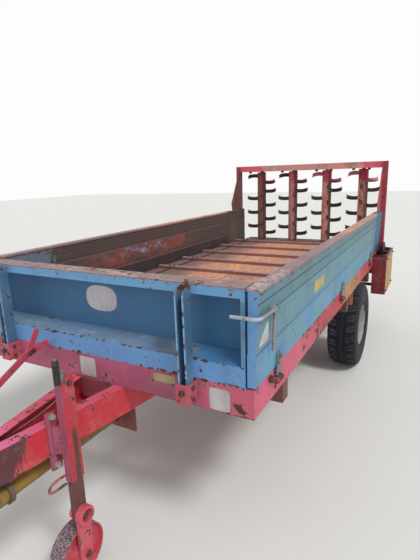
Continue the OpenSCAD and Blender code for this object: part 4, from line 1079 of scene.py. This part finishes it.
# ---- Support leg: a square tube clamped to the left beam, an inner leg that a screw moves, and a crank above.
# Red on its side with a long streak of black grease, and pink on the faces that look forward.
def leg_wear(paint):
    """Grease down the middle of the outer face, pink in front, chips at the top and dark drips below."""
    right_face = paint.side.rise(0.1835, 0.1845)
    ragged = (paint.noise(60, 5, 0.75, (1, 1, 0.3)) - 0.5) * 0.035
    streak = (paint.back + 0.352 + ragged).of("ABSOLUTE").rise(0.017, 0.012)
    streak = streak * (paint.z + ragged * 3).rise(0.80, 0.76)
    in_front = paint.back.rise(-0.3945, -0.3955)
    drips = paint.noise(40, 5, 0.8, (1, 1, 0.06), 5).rise(0.53, 0.58) * paint.z.rise(0.90, 0.76)
    return (paint.z.near(1.036, 0.02) * 0.1,
            in_front * 0.9, "a85470",
            right_face * streak * 0.9, "40322a",
            right_face * streak * paint.noise(50, 4).rise(0.5, 0.6) * 0.6, "624832",
            drips * 0.75, "542630")


leg_red = dress("leg_tube", "leg_red", "b82432 be3240", 0.36, 0.2, leg_wear)
dress("inner_leg", "inner_leg_red", "8c222e 702c30", 0.5, 0.8)
clamp_out = 170 - 0.165 * 405 + 12.2
bolts("clamp_bolts", G(clamp_out, -405, [852, 612]), (1, -0.165, 0), 0.024,
      finish=weathered("bolt_plated", "b0aaa6 8c847e", 0.4, 0.4, None, 0.6, 0.4, 60, 0.0003))
bolts("leg_top_bolt", G(185.2, -352, 1004), (1, 0, 0), 0.018)
pin = rounded(G([146, 140, 138, 138, 142, 146], [-396, -430, -470, -486, -486, -396],
                [560, 560, 556, 540, 520, 516]), 2)
solid("leg_spring_pin", tube(pin, 0.006, 10, (1, 0, 0)), weathered("pin_red", "c44654 aa5a5c", 0.6, 0.4),
      slot="red_frame")
weld_z = np.linspace(672, 798, 40)
weld = tube(G(145.5 - 0 * weld_z, -397, weld_z), 0.004 + 0.0012 * np.sin(weld_z * 0.9), 8, (1, 0, 0))
solid("leg_weld", weld, leg_red, slot="red_frame")


# ---- Crank: a flat arm on the screw's head, with a plated cap, and a ribbed grip on its pin.
# The arm is pressed steel with rounded ends, once plated; the grip is moulded of hard black rubber.
crank_top, leg_x, leg_y, grip_x, grip_y = 1036.0, 165, -360, 232, -449
arm = rounded(G([leg_x, grip_x], [leg_y, grip_y], crank_top + 13), 1)
long = np.linalg.norm(arm[-1] - arm[0])
along = (arm[-1] - arm[0]) / long
side = np.cross((0, 0, 1.0), along)
u, v = squared(np.cos(circle(20)), 0.35), squared(np.sin(circle(20)), 0.5)
edge = np.outer(u * (long / 2 + 0.01), along) + np.outer(v * 0.012, side)
plate = film((arm[0] + arm[-1]) / 2, edge, np.array([0, 0, 1.0]), [0, 0.96, 1, 1, 0.96, 0],
             [-0.005, -0.005, -0.004, 0.004, 0.005, 0.005])
screw_top, pin_foot = G(leg_x, leg_y, crank_top), G(grip_x, grip_y, crank_top)
screw = knob(0.012, 0.026, 0.004, 0.022, screw_top, (0, 0, 1))
pin_end = turned([[0.119, 0], [0.119, 0.007], [0.124, 0.006], [0.124, 0]], pin_foot, (0, 0, 1), 20)
plated = weathered("crank_plated", "968c8a 786c68", 0.5, 0.4, None, 0.6, 0.4, 40, 0.0003)
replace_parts(solid("crank_arm", joined(plate, screw, pin_end), plated, slot="greasy_steel"), "leg_crank")
rise = np.linspace(0, 1, 45)
ribbed = np.stack([0.014 + rise * 0.102, 0.0145 - 0.0009 * (0.5 + 0.5 * np.cos(rise * 2 * np.pi * 11))], -1)
grip = turned([[0.014, 0], *ribbed, [0.119, 0.008], [0.119, 0]], pin_foot, (0, 0, 1), 28)
grip_rubber = weathered("grip_rubber", "141618 1e2022", 0.0, 0.3, lambda paint: (-0.6,), 0, 0.6, 40, 0.0003)
solid("crank_grip", grip, grip_rubber, slot="greasy_steel")


# ---- Support wheel: a pressed steel wheel on a flat arm with ringed bosses, folding up beside the leg.
# Red disc and arm; the band is rubbed to speckled grey steel, and the caps on its hub and pivot are rusted.
hub_y, hub_z, pivot_z = -368.0, 130.0, 341


def band_wear(paint):
    """Grey speckled steel on the band, red on the disc."""
    *_, out = about(paint, hub_y, hub_z)
    band = out.rise(0.1255, 0.1275)
    speck = paint.noise(150, 3, 0.8, shift=2)
    return (0.0,
            band * 0.95, "5c4a54",
            band * speck.rise(0.5, 0.62), "c4b8be",
            band * speck.rise(0.46, 0.36), "2c242a")


dress("support_wheel", "support_wheel_red", "c82c3e be3c4a", 0.3, 0.3, band_wear)
dress("support_arm", "support_arm_red", "cc3042 d45464", 0.4, 0.25)
for name, radius, height, place in (("arm_hub_cap", 0.017, 0.008, (203.2, hub_y, hub_z)),
                                    ("arm_pivot_cap", 0.018, 0.015, (195, leg_y, pivot_z))):
    cap = knob(radius, height, 0.005, height - 0.003, G(*place), (1, 0, 0))
    solid(name, cap, bolt_rust, "support_arm", "red_frame")
